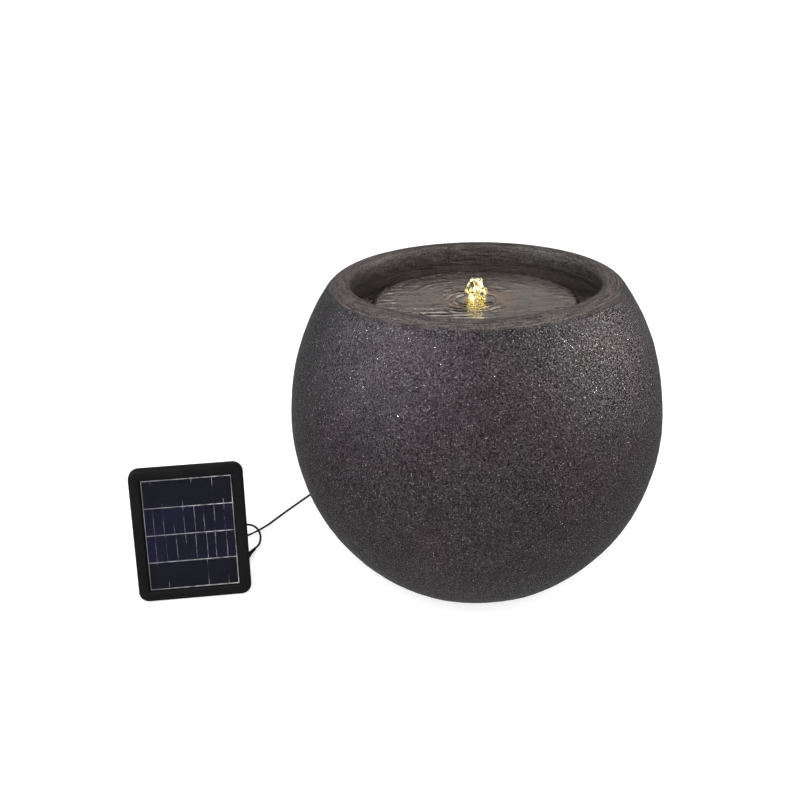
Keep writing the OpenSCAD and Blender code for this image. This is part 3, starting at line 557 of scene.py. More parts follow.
def turned(profile, around, radius=lambda r, z, turn: r):
    """Verts and faces of a solid turned from (r, z) points; the ends lie on the axis."""
    verts, rings = [], []
    for r, z in profile:
        if r < 1e-9:
            rings.append([len(verts)])
            verts.append(Vector((0, 0, z)))
            continue
        rings.append(list(range(len(verts), len(verts) + around)))
        for k in range(around):
            turn = 2 * math.pi * k / around
            rr = radius(r, z, turn)
            verts.append(Vector((rr * math.cos(turn), rr * math.sin(turn), z)))
    return verts, bridged(rings, around)


def even(points, step):
    """A dense polyline resampled to one even step."""
    total = sum(math.dist(a, b) for a, b in zip(points, points[1:]))
    n = max(1, round(total / step))
    out, at, left = [points[0]], 0, total / n
    here = points[0]
    for nxt in points[1:]:
        while math.dist(here, nxt) >= left:
            share = left / math.dist(here, nxt)
            here = (here[0] + (nxt[0] - here[0]) * share, here[1] + (nxt[1] - here[1]) * share)
            out.append(here)
            left = total / n
        left -= math.dist(here, nxt)
        here = nxt
    if math.dist(out[-1], points[-1]) < step * 0.3:
        out.pop()
    return out + [points[-1]]


def evaluated(piece):
    """The piece's mesh with its modifiers applied."""
    graph = bpy.context.evaluated_depsgraph_get()
    return bpy.data.meshes.new_from_object(piece.evaluated_get(graph))


def joined(parts):
    """One mesh from several (verts, faces)."""
    verts, faces = [], []
    for v, f in parts:
        base = len(verts)
        verts += v
        faces += [tuple(i + base for i in face) for face in f]
    return verts, faces


# ---- routes, in millimetres, as in part.scad ----
GLAND_TURN, GLAND_Z, TAIL = 120, 40, 22
CABLE_D = 2.5
LIE = CABLE_D / 2
gland_r0 = BOWL_R * math.sqrt(1 - ((BELLY_Z - GLAND_Z) / LOWER_H) ** 2)
gland_dip = math.atan2((BELLY_Z - GLAND_Z) / LOWER_H**2, gland_r0 / BOWL_R**2)
exit_r = gland_r0 + TAIL * math.cos(gland_dip)
gland_way = Vector((math.cos(math.radians(GLAND_TURN)), math.sin(math.radians(GLAND_TURN)), 0))
cable_exit = gland_way * exit_r + Vector((0, 0, GLAND_Z - TAIL * math.sin(gland_dip)))
COIL = Vector((-128, 232, 0))
LANE, LANES, TURNS = 18.75, 4, 15.375

start_route = [
    tuple(cable_exit), (-82, 142, 19), (-87, 151, 11), (-93, 162, 5), (-98, 173, 1.8),
    (-102, 185, LIE), (-106, 203, LIE), (-109, 219, LIE),
]
run_route = [
    (-149, 237.5, 8), (-159, 227.5, 6.2), (-169.5, 217, 4.2), (-180, 206, 2.4), (-190, 194.5, LIE),
    (-199.8, 182, LIE), (-208.8, 168.8, LIE), (-217.5, 153.5, LIE), (-226.3, 137, LIE), (-235.8, 119, LIE),
    (-244.8, 101, LIE), (-251.2, 87, 1.8), (-256, 76, 3.1), (-260.4, 67.4, 3.9), (-265.6, 62, 3.5),
    (-272, 58, 2.2), (-279, 54.8, LIE), (-286.5, 53.4, LIE), (-293.5, 55.5, LIE), (-298.3, 61, LIE),
    (-299.5, 68.5, LIE), (-297.3, 76.2, LIE), (-292, 82.5, LIE), (-285.2, 86, LIE), (-278.2, 86.6, LIE),
    (-271.6, 84.5, LIE), (-265.8, 78.6, LIE), (-261.4, 70.3, LIE), (-258.2, 61, LIE), (-256.4, 51.5, LIE),
    (-255.8, 42, 1.4), (-256.2, 33, 2.2), (-258.2, 23.5, 3.4),
]


def coil_route(per_turn=16):
    """Turns lie beside each other inwards, then outwards on the next layer."""
    points = []
    for i in range(round(TURNS * per_turn) + 1):
        t = i / per_turn
        layer, within = divmod(t, LANES)
        inward = layer % 2 == 0
        moved = min(within, LANES - 1)
        lane = LANE - CABLE_D * (moved if inward else LANES - 1 - moved)
        rise = LIE + CABLE_D * (layer + max(0.0, within - (LANES - 1)))
        turn = 2 * math.pi * t
        points.append((COIL.x + lane * math.cos(turn), COIL.y + lane * math.sin(turn), rise))
    return points


def tube(name, points, diameter, material, closed=False, extra=()):
    """A round cable or wire along points in millimetres."""
    data = bpy.data.curves.new(name, "CURVE")
    data.dimensions = "3D"
    data.bevel_depth = diameter / 2 * MM
    data.bevel_resolution = 3
    data.resolution_u = 5
    data.use_fill_caps = True
    for run, loop in [(points, closed), *[(e, False) for e in extra]]:
        spline = data.splines.new("BEZIER")
        spline.bezier_points.add(len(run) - 1)
        spline.use_cyclic_u = loop
        for knot, point in zip(spline.bezier_points, run):
            knot.co = Vector(point) * MM
            knot.handle_left_type = knot.handle_right_type = "AUTO"
    data.materials.append(material)
    piece = linked(name, data)
    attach(piece, "root")
    return piece


PANEL_AT, PANEL_TURN, PANEL_LEAN = Vector((-308.8, -73, 0)), math.radians(10), math.radians(7)
on_panel = (Matrix.Translation(PANEL_AT * MM) @ Matrix.Rotation(PANEL_TURN, 4, "Z")
            @ Matrix.Rotation(-PANEL_LEAN, 4, "X"))


def panel_point(x, y, z):
    """A point given in the panel's own upright frame, in the part's frame."""
    return on_panel @ (Vector((x, y, z)) * MM) / MM


PLUG_AT, PLUG_TURN = Vector((-258.2, 23.5, 3.4)), math.radians(250)
PLUG_TAIL, PLUG_LEN, SOCKET_LEN = 15, 12, 13
plug_way = Vector((math.cos(PLUG_TURN), math.sin(PLUG_TURN), 0))
plug_end = PLUG_AT + plug_way * (PLUG_TAIL + PLUG_LEN + SOCKET_LEN)
LEAD_X, LEAD_Y, LEAD_Z = 37, 9, 71
lead_route = [
    panel_point(LEAD_X, LEAD_Y, LEAD_Z), panel_point(LEAD_X, LEAD_Y, LEAD_Z - 7),
    panel_point(LEAD_X, LEAD_Y + 0.8, 54), panel_point(LEAD_X, LEAD_Y + 2.5, 44),
    panel_point(LEAD_X + 0.2, LEAD_Y + 5.5, 34), panel_point(LEAD_X + 0.3, LEAD_Y + 11, 24.5),
    panel_point(LEAD_X + 0.2, LEAD_Y + 18.5, 16),
    plug_end + Vector((-4.4, -16, 2.4)), plug_end + Vector((-2.9, -9, -1)),
    plug_end + Vector((-1.3, -4, -0.3)), plug_end,
]


# ---- cords ----
cable_points = start_route + coil_route() + run_route
cable = tube("cable", cable_points, CABLE_D, cable_skin)
lead = tube("panel_cable", lead_route, CABLE_D, cable_skin)


def connector(name, profile, along, flutes_from, flutes_to):
    """A moulded half of the inline connector, with grip flutes."""
    def fluted(r, z, turn):
        return r * (1 + 0.035 * math.cos(14 * turn)) if flutes_from < z < flutes_to else r
    verts, faces = turned(profile, 84, fluted)
    aim = (Matrix.Translation(PLUG_AT * MM) @ Matrix.Rotation(PLUG_TURN, 4, "Z")
           @ Matrix.Rotation(math.pi / 2, 4, "Y") @ Matrix.Translation((0, 0, along * MM)))
    return finish_mesh(name, [aim @ (v * MM) for v in verts], faces, dark_rubber,
                       slot="rubber_black", sharp=50)


def ribbed(start, end, r0, r1, ribs):
    """A tapered strain relief with grooves between its ribs."""
    out = []
    for i in range(ribs):
        a = start + (end - start) * i / ribs
        step = (end - start) / ribs
        r = r0 + (r1 - r0) * i / ribs
        groove = ((0, 0.10), (0.12, 0.25), (0.12, 0.60), (-0.12, 0.68), (-0.28, 0.78), (-0.12, 0.92))
        out += [(r + dr, a + share * step) for dr, share in groove]
    return out


plug = connector(
    "plug",
    [(0, 0), (1.35, 0), (1.55, 0.4)] + ribbed(0.6, 14, 1.65, 2.45, 6)
    + [(2.7, 14.4), (3.0, 15), (3.3, 15.4), (3.4, 16), (3.3, 16.6)]
    + [(3.3, z / 2) for z in range(34, 51)] + [(3.4, 25.8), (3.4, 26.4), (3.1, 27), (0, 27)],
    0, 16.5, 25.5)
socket = connector(
    "socket",
    [(0, 0), (3.1, 0), (3.4, 0.5), (3.4, 1.2), (3.25, 1.8)] + [(3.25, 2 + z / 2) for z in range(0, 9)]
    + [(3.4, 6.6), (3.3, 7.2), (2.9, 7.7), (2.55, 8.1)]
    + [(2.5, 8.4), (2.5, 9.0), (2.2, 9.3), (2.35, 9.6), (2.3, 10.2), (2.0, 10.5), (2.1, 10.8), (2.05, 11.4),
       (1.8, 11.7), (1.75, 12.6), (1.45, 13), (0, 13)],
    PLUG_TAIL + PLUG_LEN, 1.9, 6.2)


def tie_loop():
    """Plastic-covered wire round one side of the coil, with its ends twisted."""
    turn = math.radians(250)
    out, up = Vector((math.cos(turn), math.sin(turn), 0)), Vector((0, 0, 1))
    side = out.cross(up)
    ring = []
    for k in range(16):
        a = 2 * math.pi * k / 16
        c, s = math.cos(a), math.sin(a)
        across = math.copysign(abs(c) ** 0.5, c) * 5.6
        height = math.copysign(abs(s) ** 0.5, s) * 5.2
        ring.append(COIL + out * (15 + across) + up * (5.5 + height) + side * 0.3 * math.sin(3 * a))
    knot = COIL + out * 20.2 + up * 9.4
    tails = []
    for phase in (0.0, math.pi):
        tails.append([knot + out * (0.55 * i) + up * (0.35 * i)
                      + side * 0.55 * math.cos(phase + 1.3 * i)
                      + up * 0.55 * math.sin(phase + 1.3 * i)
                      for i in range(14)])
    return ring, tails


tie_ring, tie_tails = tie_loop()
tie = tube("tie", tie_ring, 0.9, dark_rubber, closed=True, extra=tie_tails)
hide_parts("cable_start", "cable_coil", "power_cable")
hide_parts("panel_lead")
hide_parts("cable_plug")
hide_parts("lead_socket")
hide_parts("coil_tie")


# ---- bowl ----
def on_ellipse(a, b, t):
    """A point of the wall at angle t above the widest level."""
    return (a * math.cos(t), BELLY_Z + b * math.sin(t))


SHOULDER_R, LIP_R, MOUTH_R, FLOOR = 157, 24, 131, 14
shoulder_t = math.acos(SHOULDER_R / BOWL_R)
shoulder_z = BELLY_Z + UPPER_H * math.sin(shoulder_t)
shoulder_a = math.atan2(math.sin(shoulder_t) / UPPER_H, math.cos(shoulder_t) / BOWL_R)
lip_cr = SHOULDER_R - LIP_R * math.cos(shoulder_a)
lip_cz = shoulder_z - LIP_R * math.sin(shoulder_a)
lip_top = lip_cz + LIP_R
inner_round = lip_cr - MOUTH_R


def bowl_profile():
    """The bowl's section: foot, outside, lip, inside and floor, as (r, z) points."""
    base_t = math.asin(BELLY_Z / LOWER_H)
    base_r = BOWL_R * math.cos(base_t)
    outer = [on_ellipse(BOWL_R, LOWER_H, -base_t * (1 - i / 200)) for i in range(201)]
    outer += [on_ellipse(BOWL_R, UPPER_H, shoulder_t * i / 120) for i in range(1, 121)]
    outer += [(lip_cr + LIP_R * math.cos(a), lip_cz + LIP_R * math.sin(a))
              for a in (shoulder_a + (math.pi / 2 - shoulder_a) * i / 30 for i in range(1, 31))]
    rim = [(lip_cr + inner_round * math.cos(a), lip_top - inner_round + inner_round * math.sin(a))
           for a in (math.pi / 2 * (1 + i / 12) for i in range(1, 13))]
    throat_t, floor_t = math.radians(25), math.asin((BELLY_Z - FLOOR) / (LOWER_H - WALL))
    inner = [(MOUTH_R, lip_top - 12), (MOUTH_R, lip_top - 19), (MOUTH_R + 0.6, lip_top - 20.4)]
    inner += [on_ellipse(BOWL_R - WALL, UPPER_H - WALL, throat_t * (1 - i / 40)) for i in range(41)]
    inner += [on_ellipse(BOWL_R - WALL, LOWER_H - WALL, -floor_t * i / 60) for i in range(1, 61)]
    foot = [(0, 0)] + [(base_r * i / 10, 0) for i in range(1, 10)]
    foot += [(base_r - 1.2, 0), (base_r - 0.3, 0.35)]
    floor = [(inner[-1][0] * i / 8, FLOOR) for i in range(7, 0, -1)]
    return foot + even(outer[1:], 2.3) + rim + even(inner, 5.5)[1:] + floor + [(0, FLOOR)]


def bowl_cutters():
    """What the wall gains and loses: three brackets, and holes for the gland and the drain."""
    brackets = []
    outline = [(96, 290), (96, 281), (130, 258), (184, 258), (184, 272), (170, 290)]
    for turn in (30, 150, 270):
        spin = Matrix.Rotation(math.radians(turn), 4, "Z")
        verts = [spin @ Vector((r, y, z)) for y in (-11, 11) for r, z in outline]
        faces = [tuple(range(6)), tuple(range(11, 5, -1))]
        faces += [(i, (i + 1) % 6, (i + 1) % 6 + 6, i + 6) for i in range(6)]
        brackets.append((verts, faces))
    seat = (Matrix.Rotation(math.radians(GLAND_TURN), 4, "Z")
            @ Matrix.Translation((gland_r0, 0, GLAND_Z))
            @ Matrix.Rotation(math.pi / 2 + gland_dip, 4, "Y"))
    bore, faces = turned([(0, -40), (6, -40), (6, -0.6), (10, -0.6), (10, 20), (0, 20)], 48)
    drain, drain_faces = turned([(0, -1), (8, -1), (8, FLOOR + 1), (0, FLOOR + 1)], 48)
    holes = [([seat @ v for v in bore], faces),
             ([v + Vector((0, -40, 0)) for v in drain], drain_faces)]
    return joined(brackets), joined(holes)


def cut_by(piece, parts, operation):
    """Join the parts to the piece, or take them from it."""
    verts, faces = parts
    mesh = raw_mesh("cutter", [v * MM for v in verts], faces)
    outward(mesh)
    cutter = linked("cutter", mesh)
    modifier = piece.modifiers.new("cut", "BOOLEAN")
    modifier.operation = operation
    modifier.solver = "EXACT"
    modifier.object = cutter
    result = evaluated(piece)
    piece.modifiers.clear()
    piece.data = result
    bpy.data.objects.remove(cutter)


def near_gland(p):
    """Whether a point is so near the gland that the wall stays smooth under its flange."""
    foot = gland_way * gland_r0 * MM + Vector((0, 0, GLAND_Z * MM))
    return (p - foot).length < 0.015


def roughen(mesh):
    """Hand-cast unevenness: long swells, then lumps, and grit below the smooth lip."""
    mesh.update()
    normals = [Vector(n.vector) for n in mesh.vertex_normals]
    for vertex, normal in zip(mesh.vertices, normals):
        p = vertex.co
        if p.z < 0.0015 or near_gland(p) or (p.xy.length < 0.095 and p.z < 0.02):
            continue
        body = min(1.0, max(0.0, (LIP_Z - p.z) / 0.002))
        swell = 0.00055 * noise.noise(p * 16) + 0.00028 * noise.noise(p * 47 + Vector((3, 1, 8)))
        lumps = 0.00017 * noise.noise(p * 120 + Vector((9, 2, 4))) + 0.00012 * noise.noise(p * 240)
        vertex.co = p + normal * (swell * (0.35 + 0.65 * body) + lumps * body)


def make_bowl():
    verts, faces = turned(bowl_profile(), BOWL_SIDES)
    mesh = raw_mesh("bowl_cast", [v * MM for v in verts], faces)
    outward(mesh)
    blank = linked("bowl_blank", mesh)
    brackets, holes = bowl_cutters()
    cut_by(blank, brackets, "UNION")
    cut_by(blank, holes, "DIFFERENCE")
    shaped = blank.data
    bpy.data.objects.remove(blank)
    roughen(shaped)
    bowl = finish_piece("bowl_cast", shaped, bowl_look, sharp=50)
    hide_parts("bowl")


make_bowl()


# ---- water; FILM is how high it stands over the dish ----
DISH_TOP, DISH_FLAT, DISH_ROUND, FILM = 313, 101.5, 7, 3.2


def ripple(x, y):
    """Height of the moving surface above its level, in millimetres."""
    r = math.hypot(x, y)
    p = Vector((x, y, 0))
    wobble = 8.0 * noise.noise(p * 0.021) + 3.0 * noise.noise(p * 0.06)
    patchy = 0.3 + 1.7 * max(0.0, noise.noise(p * 0.035 + Vector((3.1, 0.4, 0))) + 0.25)
    calm = 1.0 - 0.75 * max(0.0, min(1.0, (x - 14) / 30))
    rings = 0.46 * calm * patchy * math.sin((r + wobble) * 2 * math.pi / 8.5)
    rings *= math.exp(-r / 52) * min(1, r / 16)
    far = 0.05 * math.sin((r + 2.4 * wobble) * 2 * math.pi / 11) * min(1, r / 40)
    chop = 0.20 * noise.noise(Vector((x * 0.055, y * 0.13, 1.7)))
    chop += 0.10 * noise.noise(Vector((x * 0.12, y * 0.30, 5.1)))
    mound = 0.5 * math.exp(-(r / 15) ** 2)
    edge = 0.6 * (0.4 + 0.6 * calm) * noise.noise(Vector((x * 0.09, y * 0.18, 9.3)))
    edge *= max(0.0, min(1.0, (r - 72) / 16))
    front = math.exp(-((x + 28) / 26) ** 2 - ((y + 52) / 26) ** 2)
    lines = 0.62 * front * math.sin((y + 0.5 * wobble - 0.06 * x) * 2 * math.pi / 10.5)
    lines *= 0.4 + 1.2 * max(0.0, noise.noise(Vector((x * 0.05, y * 0.16, 4.4))) + 0.3)
    return rings + far + chop + mound + edge + lines


def make_film():
    """Water over the dish: rippled on top, rolling over the edge and ending in runs."""
    around = 432
    radii = [0] + [1.2 * i for i in range(1, 84)]
    arc = [math.radians(90 - 9.5 * i) for i in range(1, 10)]
    verts, rings = [], []
    for r in radii:
        count = 1 if r == 0 else around
        rings.append(list(range(len(verts), len(verts) + count)))
        for k in range(count):
            a = 2 * math.pi * k / around
            x, y = r * math.cos(a), r * math.sin(a)
            verts.append(Vector((x, y, DISH_TOP + FILM + ripple(x, y))))

    def over(turn, a, thick):
        wet = thick + 0.35 * noise.noise(Vector((9 * math.cos(a), 9 * math.sin(a), 2.2)))
        r = DISH_FLAT + (DISH_ROUND + wet) * math.cos(turn)
        z = DISH_TOP - DISH_ROUND + (DISH_ROUND + wet) * math.sin(turn)
        return Vector((r * math.cos(a), r * math.sin(a), z))

    def run_end(a):
        return 296.5 + 2.6 * noise.noise(Vector((5 * math.cos(a), 5 * math.sin(a), 7.7)))

    rows = []
    for turn in arc:
        rows.append([over(turn, 2 * math.pi * k / around, FILM) for k in range(around)])
    outer_last = rows[-1]
    ends = [run_end(2 * math.pi * k / around) for k in range(around)]
    rows.append([Vector((v.x, v.y, (v.z + end) / 2)) for v, end in zip(outer_last, ends)])
    rows.append([Vector((v.x * 0.997, v.y * 0.997, end)) for v, end in zip(outer_last, ends)])
    inner = []
    for turn in arc:
        inner.append([over(turn, 2 * math.pi * k / around, 0.08) for k in range(around)])
    under_last = [Vector((0.9935 * v.x, 0.9935 * v.y, end + 0.3)) for v, end in zip(outer_last, ends)]
    rows.append(under_last)
    rows += inner[::-1]
    for row in rows:
        rings.append(list(range(len(verts), len(verts) + around)))
        verts += row
    for r in radii[::-1]:
        count = 1 if r == 0 else around
        rings.append(list(range(len(verts), len(verts) + count)))
        for k in range(count):
            a = 2 * math.pi * k / around
            verts.append(Vector((r * math.cos(a), r * math.sin(a), DISH_TOP + 0.2)))
    faces = bridged(rings, around)
    film = finish_mesh("water_sheet", [v * MM for v in verts], faces, water, "dish", "water", 60)
    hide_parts("water_film")


make_film()


def make_jet():
    """Bubbling water: lumps, a thin curved sheet on one side, fused into one skin."""
    work = bmesh.new()
    base = DISH_TOP + FILM - 2.6
    lumps = [
        (-0.5, 0.0, 1.6, 6.6, 6.0, 2.6), (-1.0, -0.5, 6.0, 6.0, 5.4, 3.6), (0.4, 0.5, 11.4, 7.0, 5.6, 3.8),
        (2.4, 0.0, 19.4, 5.0, 4.4, 5.4), (4.6, -2.0, 16.0, 3.4, 3.2, 3.0), (10.2, -1.0, 10.2, 2.3, 2.5, 5.0),
        (8.0, -2.4, 4.6, 3.0, 2.8, 2.3), (-5.6, -2.4, 9.0, 2.6, 2.6, 2.0), (-0.6, -3.0, 22.4, 2.6, 2.2, 2.0),
        (5.2, 1.0, 22.6, 2.2, 2.2, 2.4), (-6.0, -1.0, 2.6, 2.8, 2.8, 1.8),
        (-1.0, -6.5, 2.8, 5.2, 4.2, 1.9), (0.8, -11.5, 2.2, 3.4, 3.0, 1.3),
    ]
    for i in range(11):
        t = i / 10
        lumps.append((-3.0 - 6.8 * math.sin(t * 1.5), -2.0, 25.0 - 14.5 * t, 1.1, 1.6, 1.2))
    for x, y, z, rx, ry, rz in lumps:
        made = bmesh.ops.create_icosphere(work, subdivisions=3, radius=1)
        bmesh.ops.scale(work, vec=(rx, ry, rz), verts=made["verts"])
        bmesh.ops.translate(work, vec=(x, y, base + z), verts=made["verts"])
    bmesh.ops.scale(work, vec=(MM, MM, MM), verts=work.verts)
    mesh = bpy.data.meshes.new("jet")
    work.to_mesh(mesh)
    work.free()
    blank = linked("jet_blank", mesh)
    skin = blank.modifiers.new("skin", "REMESH")
    skin.mode = "VOXEL"
    skin.voxel_size = 0.00062
    relax = blank.modifiers.new("relax", "SMOOTH")
    relax.factor = 0.5
    relax.iterations = 3
    shaped = evaluated(blank)
    bpy.data.objects.remove(blank)
    shaped.update()
    normals = [Vector(n.vector) for n in shaped.vertex_normals]
    for vertex, normal in zip(shaped.vertices, normals):
        p = vertex.co
        vertex.co = p + normal * (0.0008 * noise.noise(p * 290) + 0.0004 * noise.noise(p * 620))
    jet = finish_piece("jet", shaped, jet_water, "dish", 80)
    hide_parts("water_jet")


make_jet()


# ---- solar panel ----
PANEL_W, PANEL_H, CORNER = 122, 151, 11
SHEET_W, SHEET_H, FACE_Y = 103, 133, -9


def rounded_ring(inset, y, per_corner=10):
    """A ring of points round the frame, at an inset from its outer edge."""
    r = max(CORNER - inset, 0.6)
    half_w, half_h = PANEL_W / 2 - inset, PANEL_H / 2 - inset
    points = []
    for sx, sz, start in ((1, 1, 0), (-1, 1, 90), (-1, -1, 180), (1, -1, 270)):
        for i in range(per_corner + 1):
            a = math.radians(start + 90 * i / per_corner)
            x = sx * (half_w - r) + r * math.cos(a)
            z = PANEL_H / 2 + sz * (half_h - r) + r * math.sin(a)
            points.append((x, y, z))
    return points


def ring_solid(section, per_corner=10):
    """A closed band whose cross-section is the loop of (inset, y) points."""
    verts, faces = [], []
    for inset, y in section:
        verts += [Vector(p) for p in rounded_ring(inset, y, per_corner)]
    n = 4 * (per_corner + 1)
    m = len(section)
    for i in range(m):
        for k in range(n):
            a, b = i * n, ((i + 1) % m) * n
            j = (k + 1) % n
            faces.append((a + k, a + j, b + j, b + k))
    return verts, faces


def make_frame():
    """The frame's section, from its back edge over the rounded front to the bevel and the pocket."""
    section = [(0.5, 0.0), (0.12, -0.25), (0.0, -0.8), (0.0, -4.2), (0.22, -4.5), (0.22, -4.9),
               (0.0, -5.2), (0.0, -8.6)]
    rounding = 3.2
    for degrees in range(15, 91, 15):
        a = math.radians(degrees)
        section.append((rounding - rounding * math.cos(a), -8.8 - rounding * math.sin(a)))
    section += [(5.5, -12.05), (8.2, -12.0), (9.5, -11.85), (10.3, -11.45), (11.1, -10.75),
                (11.4, -10.35), (11.4, -10.0), (9.5, -10.0), (9.5, -3.2), (3.0, -3.2), (3.0, 0.0)]
    verts, faces = ring_solid(section)
    piece = finish_mesh("frame", [on_panel @ (v * MM) for v in verts], faces, case_black,
                        slot="frame_black", sharp=40)
    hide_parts("panel_frame")


make_frame()


# Four strips of cells between silver ribbons; a finger is a fine printed conductor.
STRIPS, PITCH, GAP, RIBBON, RIBBON_X = 4, 31.2, 0.9, 0.6, 47.6
FINGERS, FINGER_PITCH, FINGER_HALF = 8, 10.8, 0.11
STRIPS_Z = PANEL_H / 2 - STRIPS * PITCH / 2


def chamfered(lo, hi, cut):
    """A thin plate standing in XZ whose front edges are chamfered."""
    (x0, y0, z0), (x1, y1, z1) = lo, hi
    front = [(x0 + cut, y0, z0 + cut), (x1 - cut, y0, z0 + cut),
             (x1 - cut, y0, z1 - cut), (x0 + cut, y0, z1 - cut)]
    waist = [(x0, y0 + cut, z0), (x1, y0 + cut, z0), (x1, y0 + cut, z1), (x0, y0 + cut, z1)]
    back = [(x0, y1, z0), (x1, y1, z0), (x1, y1, z1), (x0, y1, z1)]
    verts = [on_panel @ (Vector(v) * MM) for v in front + waist + back]
    faces = [(0, 1, 2, 3), (11, 10, 9, 8)]
    for ring in (0, 4):
        faces += [(ring + (i + 1) % 4, ring + i, ring + 4 + i, ring + 4 + (i + 1) % 4) for i in range(4)]
    return verts, faces


def make_cells():
    half, back, proud = RIBBON / 2, FACE_Y + 0.3, FACE_Y - 0.03
    edges = [STRIPS_Z + i * PITCH for i in range(STRIPS + 1)]
    strips = [chamfered((-RIBBON_X + half, FACE_Y, z + GAP / 2),
                        (RIBBON_X - half, back, z + PITCH - GAP / 2), 0.08) for z in edges[:-1]]
    piece = finish_mesh("cell_strips", *joined(strips), cells, slot="silicon", sharp=20)
    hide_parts("solar_cells")
    ribbons = [chamfered((x - half, proud, edges[0] - GAP / 2), (x + half, back, edges[-1] + GAP / 2), 0.06)
               for x in (-RIBBON_X, RIBBON_X)]
    ribbons += [chamfered((-RIBBON_X + half, proud, z - GAP / 2),
                          (RIBBON_X - half, back, z + GAP / 2), 0.06) for z in edges]
    piece = finish_mesh("silver_ribbons", *joined(ribbons), ribbon_silver, slot="silver", sharp=20)
    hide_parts("cell_ribbons")
    pane_plate = chamfered((-SHEET_W / 2, FACE_Y - 1, PANEL_H / 2 - SHEET_H / 2),
                           (SHEET_W / 2, FACE_Y - 0.1, PANEL_H / 2 + SHEET_H / 2), 0.15)
    piece = finish_mesh("cover_pane", *pane_plate, pane, slot="panel_cover", sharp=20)
    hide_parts("panel_glass")


make_cells()


def make_fingers():
    """Fine printed conductors down each strip of cells, a little crooked."""
    verts, faces = [], []
    for strip in range(STRIPS):
        low = STRIPS_Z + strip * PITCH + GAP / 2 + 0.4
        high = STRIPS_Z + (strip + 1) * PITCH - GAP / 2 - 0.4
        for k in range(FINGERS):
            lo, hi = low, high
            if strip == 0 and k != 5:
                lo, hi = (low, low + random.uniform(3, 9)) if k % 2 else (high - random.uniform(2, 8), high)
            elif strip == STRIPS - 1 and k != 6:
                lo, hi = (low, low + random.uniform(3, 10)) if k % 2 else (high - random.uniform(2, 6), high)
            x = (k - (FINGERS - 1) / 2) * FINGER_PITCH + random.uniform(-0.8, 0.8)
            steps = 7
            rows = []
            for i in range(steps + 1):
                z = lo + (hi - lo) * i / steps
                rows.append((x + 0.35 * noise.noise(Vector((x * 0.7, z * 0.11, strip))), z))
            base = len(verts)
            half, front = FINGER_HALF, FACE_Y - 0.04
            for x_at, z in rows:
                for dx, y in ((-half, FACE_Y), (half, FACE_Y), (half, front), (-half, front)):
                    verts.append(on_panel @ (Vector((x_at + dx, y, z)) * MM))
            for i in range(steps):
                a, b = base + 4 * i, base + 4 * (i + 1)
                for j in range(4):
                    n = (j + 1) % 4
                    faces.append((a + j, a + n, b + n, b + j))
            faces.append((base, base + 1, base + 2, base + 3))
            end = base + 4 * steps
            faces.append((end + 3, end + 2, end + 1, end))
    finish_mesh("cell_fingers", verts, faces, finger_silver, slot="silver")


make_fingers()


# ---- CAD nodes keep their shape and take their own looks ----
LOOKS = {
    "drain_plug": dark_rubber, "bowl_gland": dark_rubber, "gland_nut": grey_plastic, "gland_washer": dark_rubber,
    "dish": dish_look, "dish_pads": dark_rubber,
    "pump_body": black, "pump_cap": black, "stator_core": core_steel, "stator_coils": copper,
    "pump_board": green_board, "volute_cover": black, "cover_seal": dark_rubber, "shaft_bushes": white_plastic,
    "rotor_shaft": ceramic, "rotor_magnet": magnet, "impeller": white_plastic, "strainer_base": black,
    "strainer_cage": black, "filter_foam": foam, "flow_slider": grey_plastic, "suction_cups": dark_rubber,
    "riser_tube": black, "wire_clips": black, "nozzle": black, "led_housing": black, "led_board": white_board,
    "leds": led_amber, "led_lens": lamp_lens, "pump_lead": cable_skin, "led_wire": cable_skin,
    "cell_board": case_black,
    "case_seal": dark_rubber, "panel_back": case_black, "case_screws": steel, "box_cover": case_black,
    "box_screws": steel, "battery": battery_wrap, "battery_contacts": steel, "control_board": green_board,
    "panel_wires": red_wire, "power_button": grey_plastic, "status_lens": status_window,
    "panel_gland": dark_rubber, "prop_leg": case_black, "hinge_pin": steel,
}
for node_name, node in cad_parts.items():
    if node_name in LOOKS:
        node.data.materials.clear()
        node.data.materials.append(LOOKS[node_name])


# ---- floor, light and background ----
def make_floor():
    verts, faces = turned([(0, -0.02), (60, -0.02), (60, 0), (0, 0)], 96)
    mesh = raw_mesh("floor", verts, faces)
    look = Look("floor", Specular_IOR_Level=0.05, Roughness=0.9, Emission_Color=(1.0, 1.0, 1.0, 1.0),
                Emission_Strength=0.50)
    look.set("Base Color", look.mix(look.span(look.noise(3, 3), 0.3, 0.7),
                                    (0.70, 0.70, 0.70), (0.74, 0.74, 0.74)))
    mesh.materials.append(look.material)
    floor = linked("floor", mesh)
    floor.location.z = -0.0002
    floor.visible_glossy = False


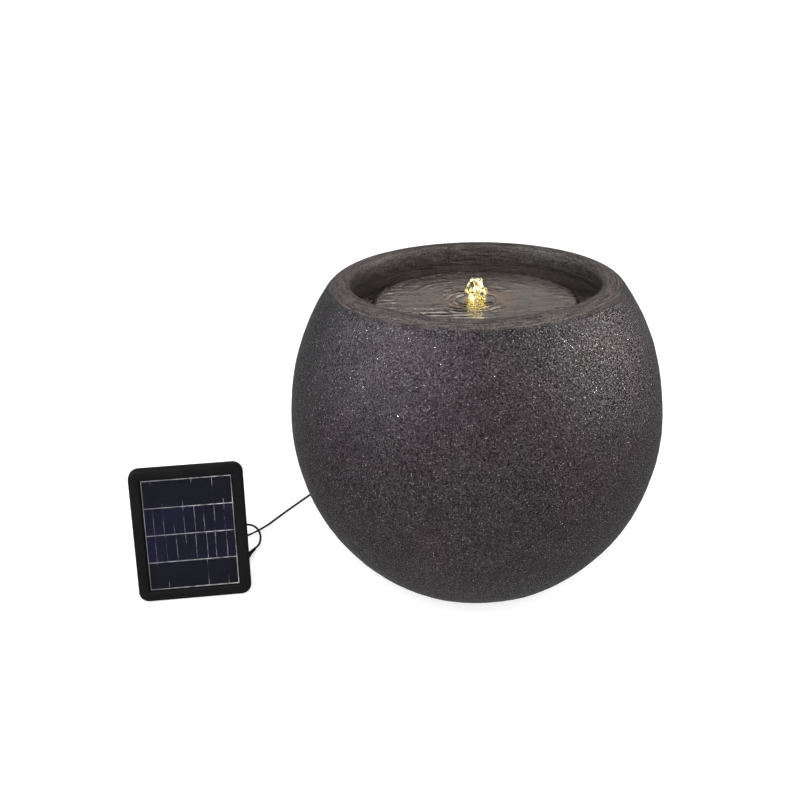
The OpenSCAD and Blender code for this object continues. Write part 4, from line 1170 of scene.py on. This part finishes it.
def softbox(name, place, aim, size, power, color, gloss):
    """An area light that shows either in reflections or in diffuse light."""
    data = bpy.data.lights.new(name, "AREA")
    data.shape = "RECTANGLE"
    data.size, data.size_y = size
    data.energy = power
    data.color = color
    lamp = linked(name, data)
    lamp.location = place
    lamp.rotation_euler = (Vector(aim) - Vector(place)).to_track_quat("-Z", "Y").to_euler()
    lamp.visible_glossy = gloss
    lamp.visible_diffuse = not gloss
    lamp.visible_camera = False


def sun(name, turn, strength, width):
    data = bpy.data.lights.new(name, "SUN")
    data.energy = strength
    data.angle = math.radians(width)
    lamp = linked(name, data)
    lamp.rotation_euler = turn
    lamp.visible_glossy = False


make_floor()
softbox("left window", (-1.45, -0.55, 1.35), (0, 0, 0.22), (0.45, 0.45), 26, (0.84, 0.89, 1.0), True)
softbox("right window", (1.75, 0.15, 1.0), (0, 0, 0.22), (0.4, 0.45), 24, (1.0, 0.98, 0.95), True)
softbox("back wall", (0, 3.2, 1.75), (0, 0, 0.3), (3.2, 1.3), 4.3, (1.0, 0.88, 0.78), True)
softbox("left fill", (-1.45, -0.55, 1.35), (0, 0, 0.22), (0.9, 0.9), 8, (0.90, 0.93, 1.0), False)
softbox("right fill", (1.75, 0.15, 1.0), (0, 0, 0.22), (0.9, 0.9), 9, (1.0, 0.99, 0.97), False)
softbox("front fill", (0.0, -2.6, 1.28), (0, 0, 0.3), (1.8, 0.5), 70, (1.0, 0.98, 0.97), False)
sun("overhead", (math.radians(28), 0, 0), 1.8, 110)

# The walls of the studio: white behind the object, dim in reflections.
world = bpy.data.worlds.new("studio")
bpy.context.scene.world = world
world.use_nodes = True
sky = world.node_tree.nodes["Background"]
seen = world.node_tree.nodes.new("ShaderNodeLightPath")
level = world.node_tree.nodes.new("ShaderNodeMapRange")
world.node_tree.links.new(seen.outputs["Is Glossy Ray"], level.inputs["Value"])
level.inputs["To Min"].default_value = 0.5
level.inputs["To Max"].default_value = 0.18
white = world.node_tree.nodes.new("ShaderNodeMath")
white.operation = "MAXIMUM"
world.node_tree.links.new(level.outputs["Result"], white.inputs[0])
world.node_tree.links.new(seen.outputs["Is Camera Ray"], white.inputs[1])
sky.inputs["Color"].default_value = (1, 1, 1, 1)
world.node_tree.links.new(white.outputs["Value"], sky.inputs["Strength"])
bpy.context.scene.view_settings.view_transform = "Standard"
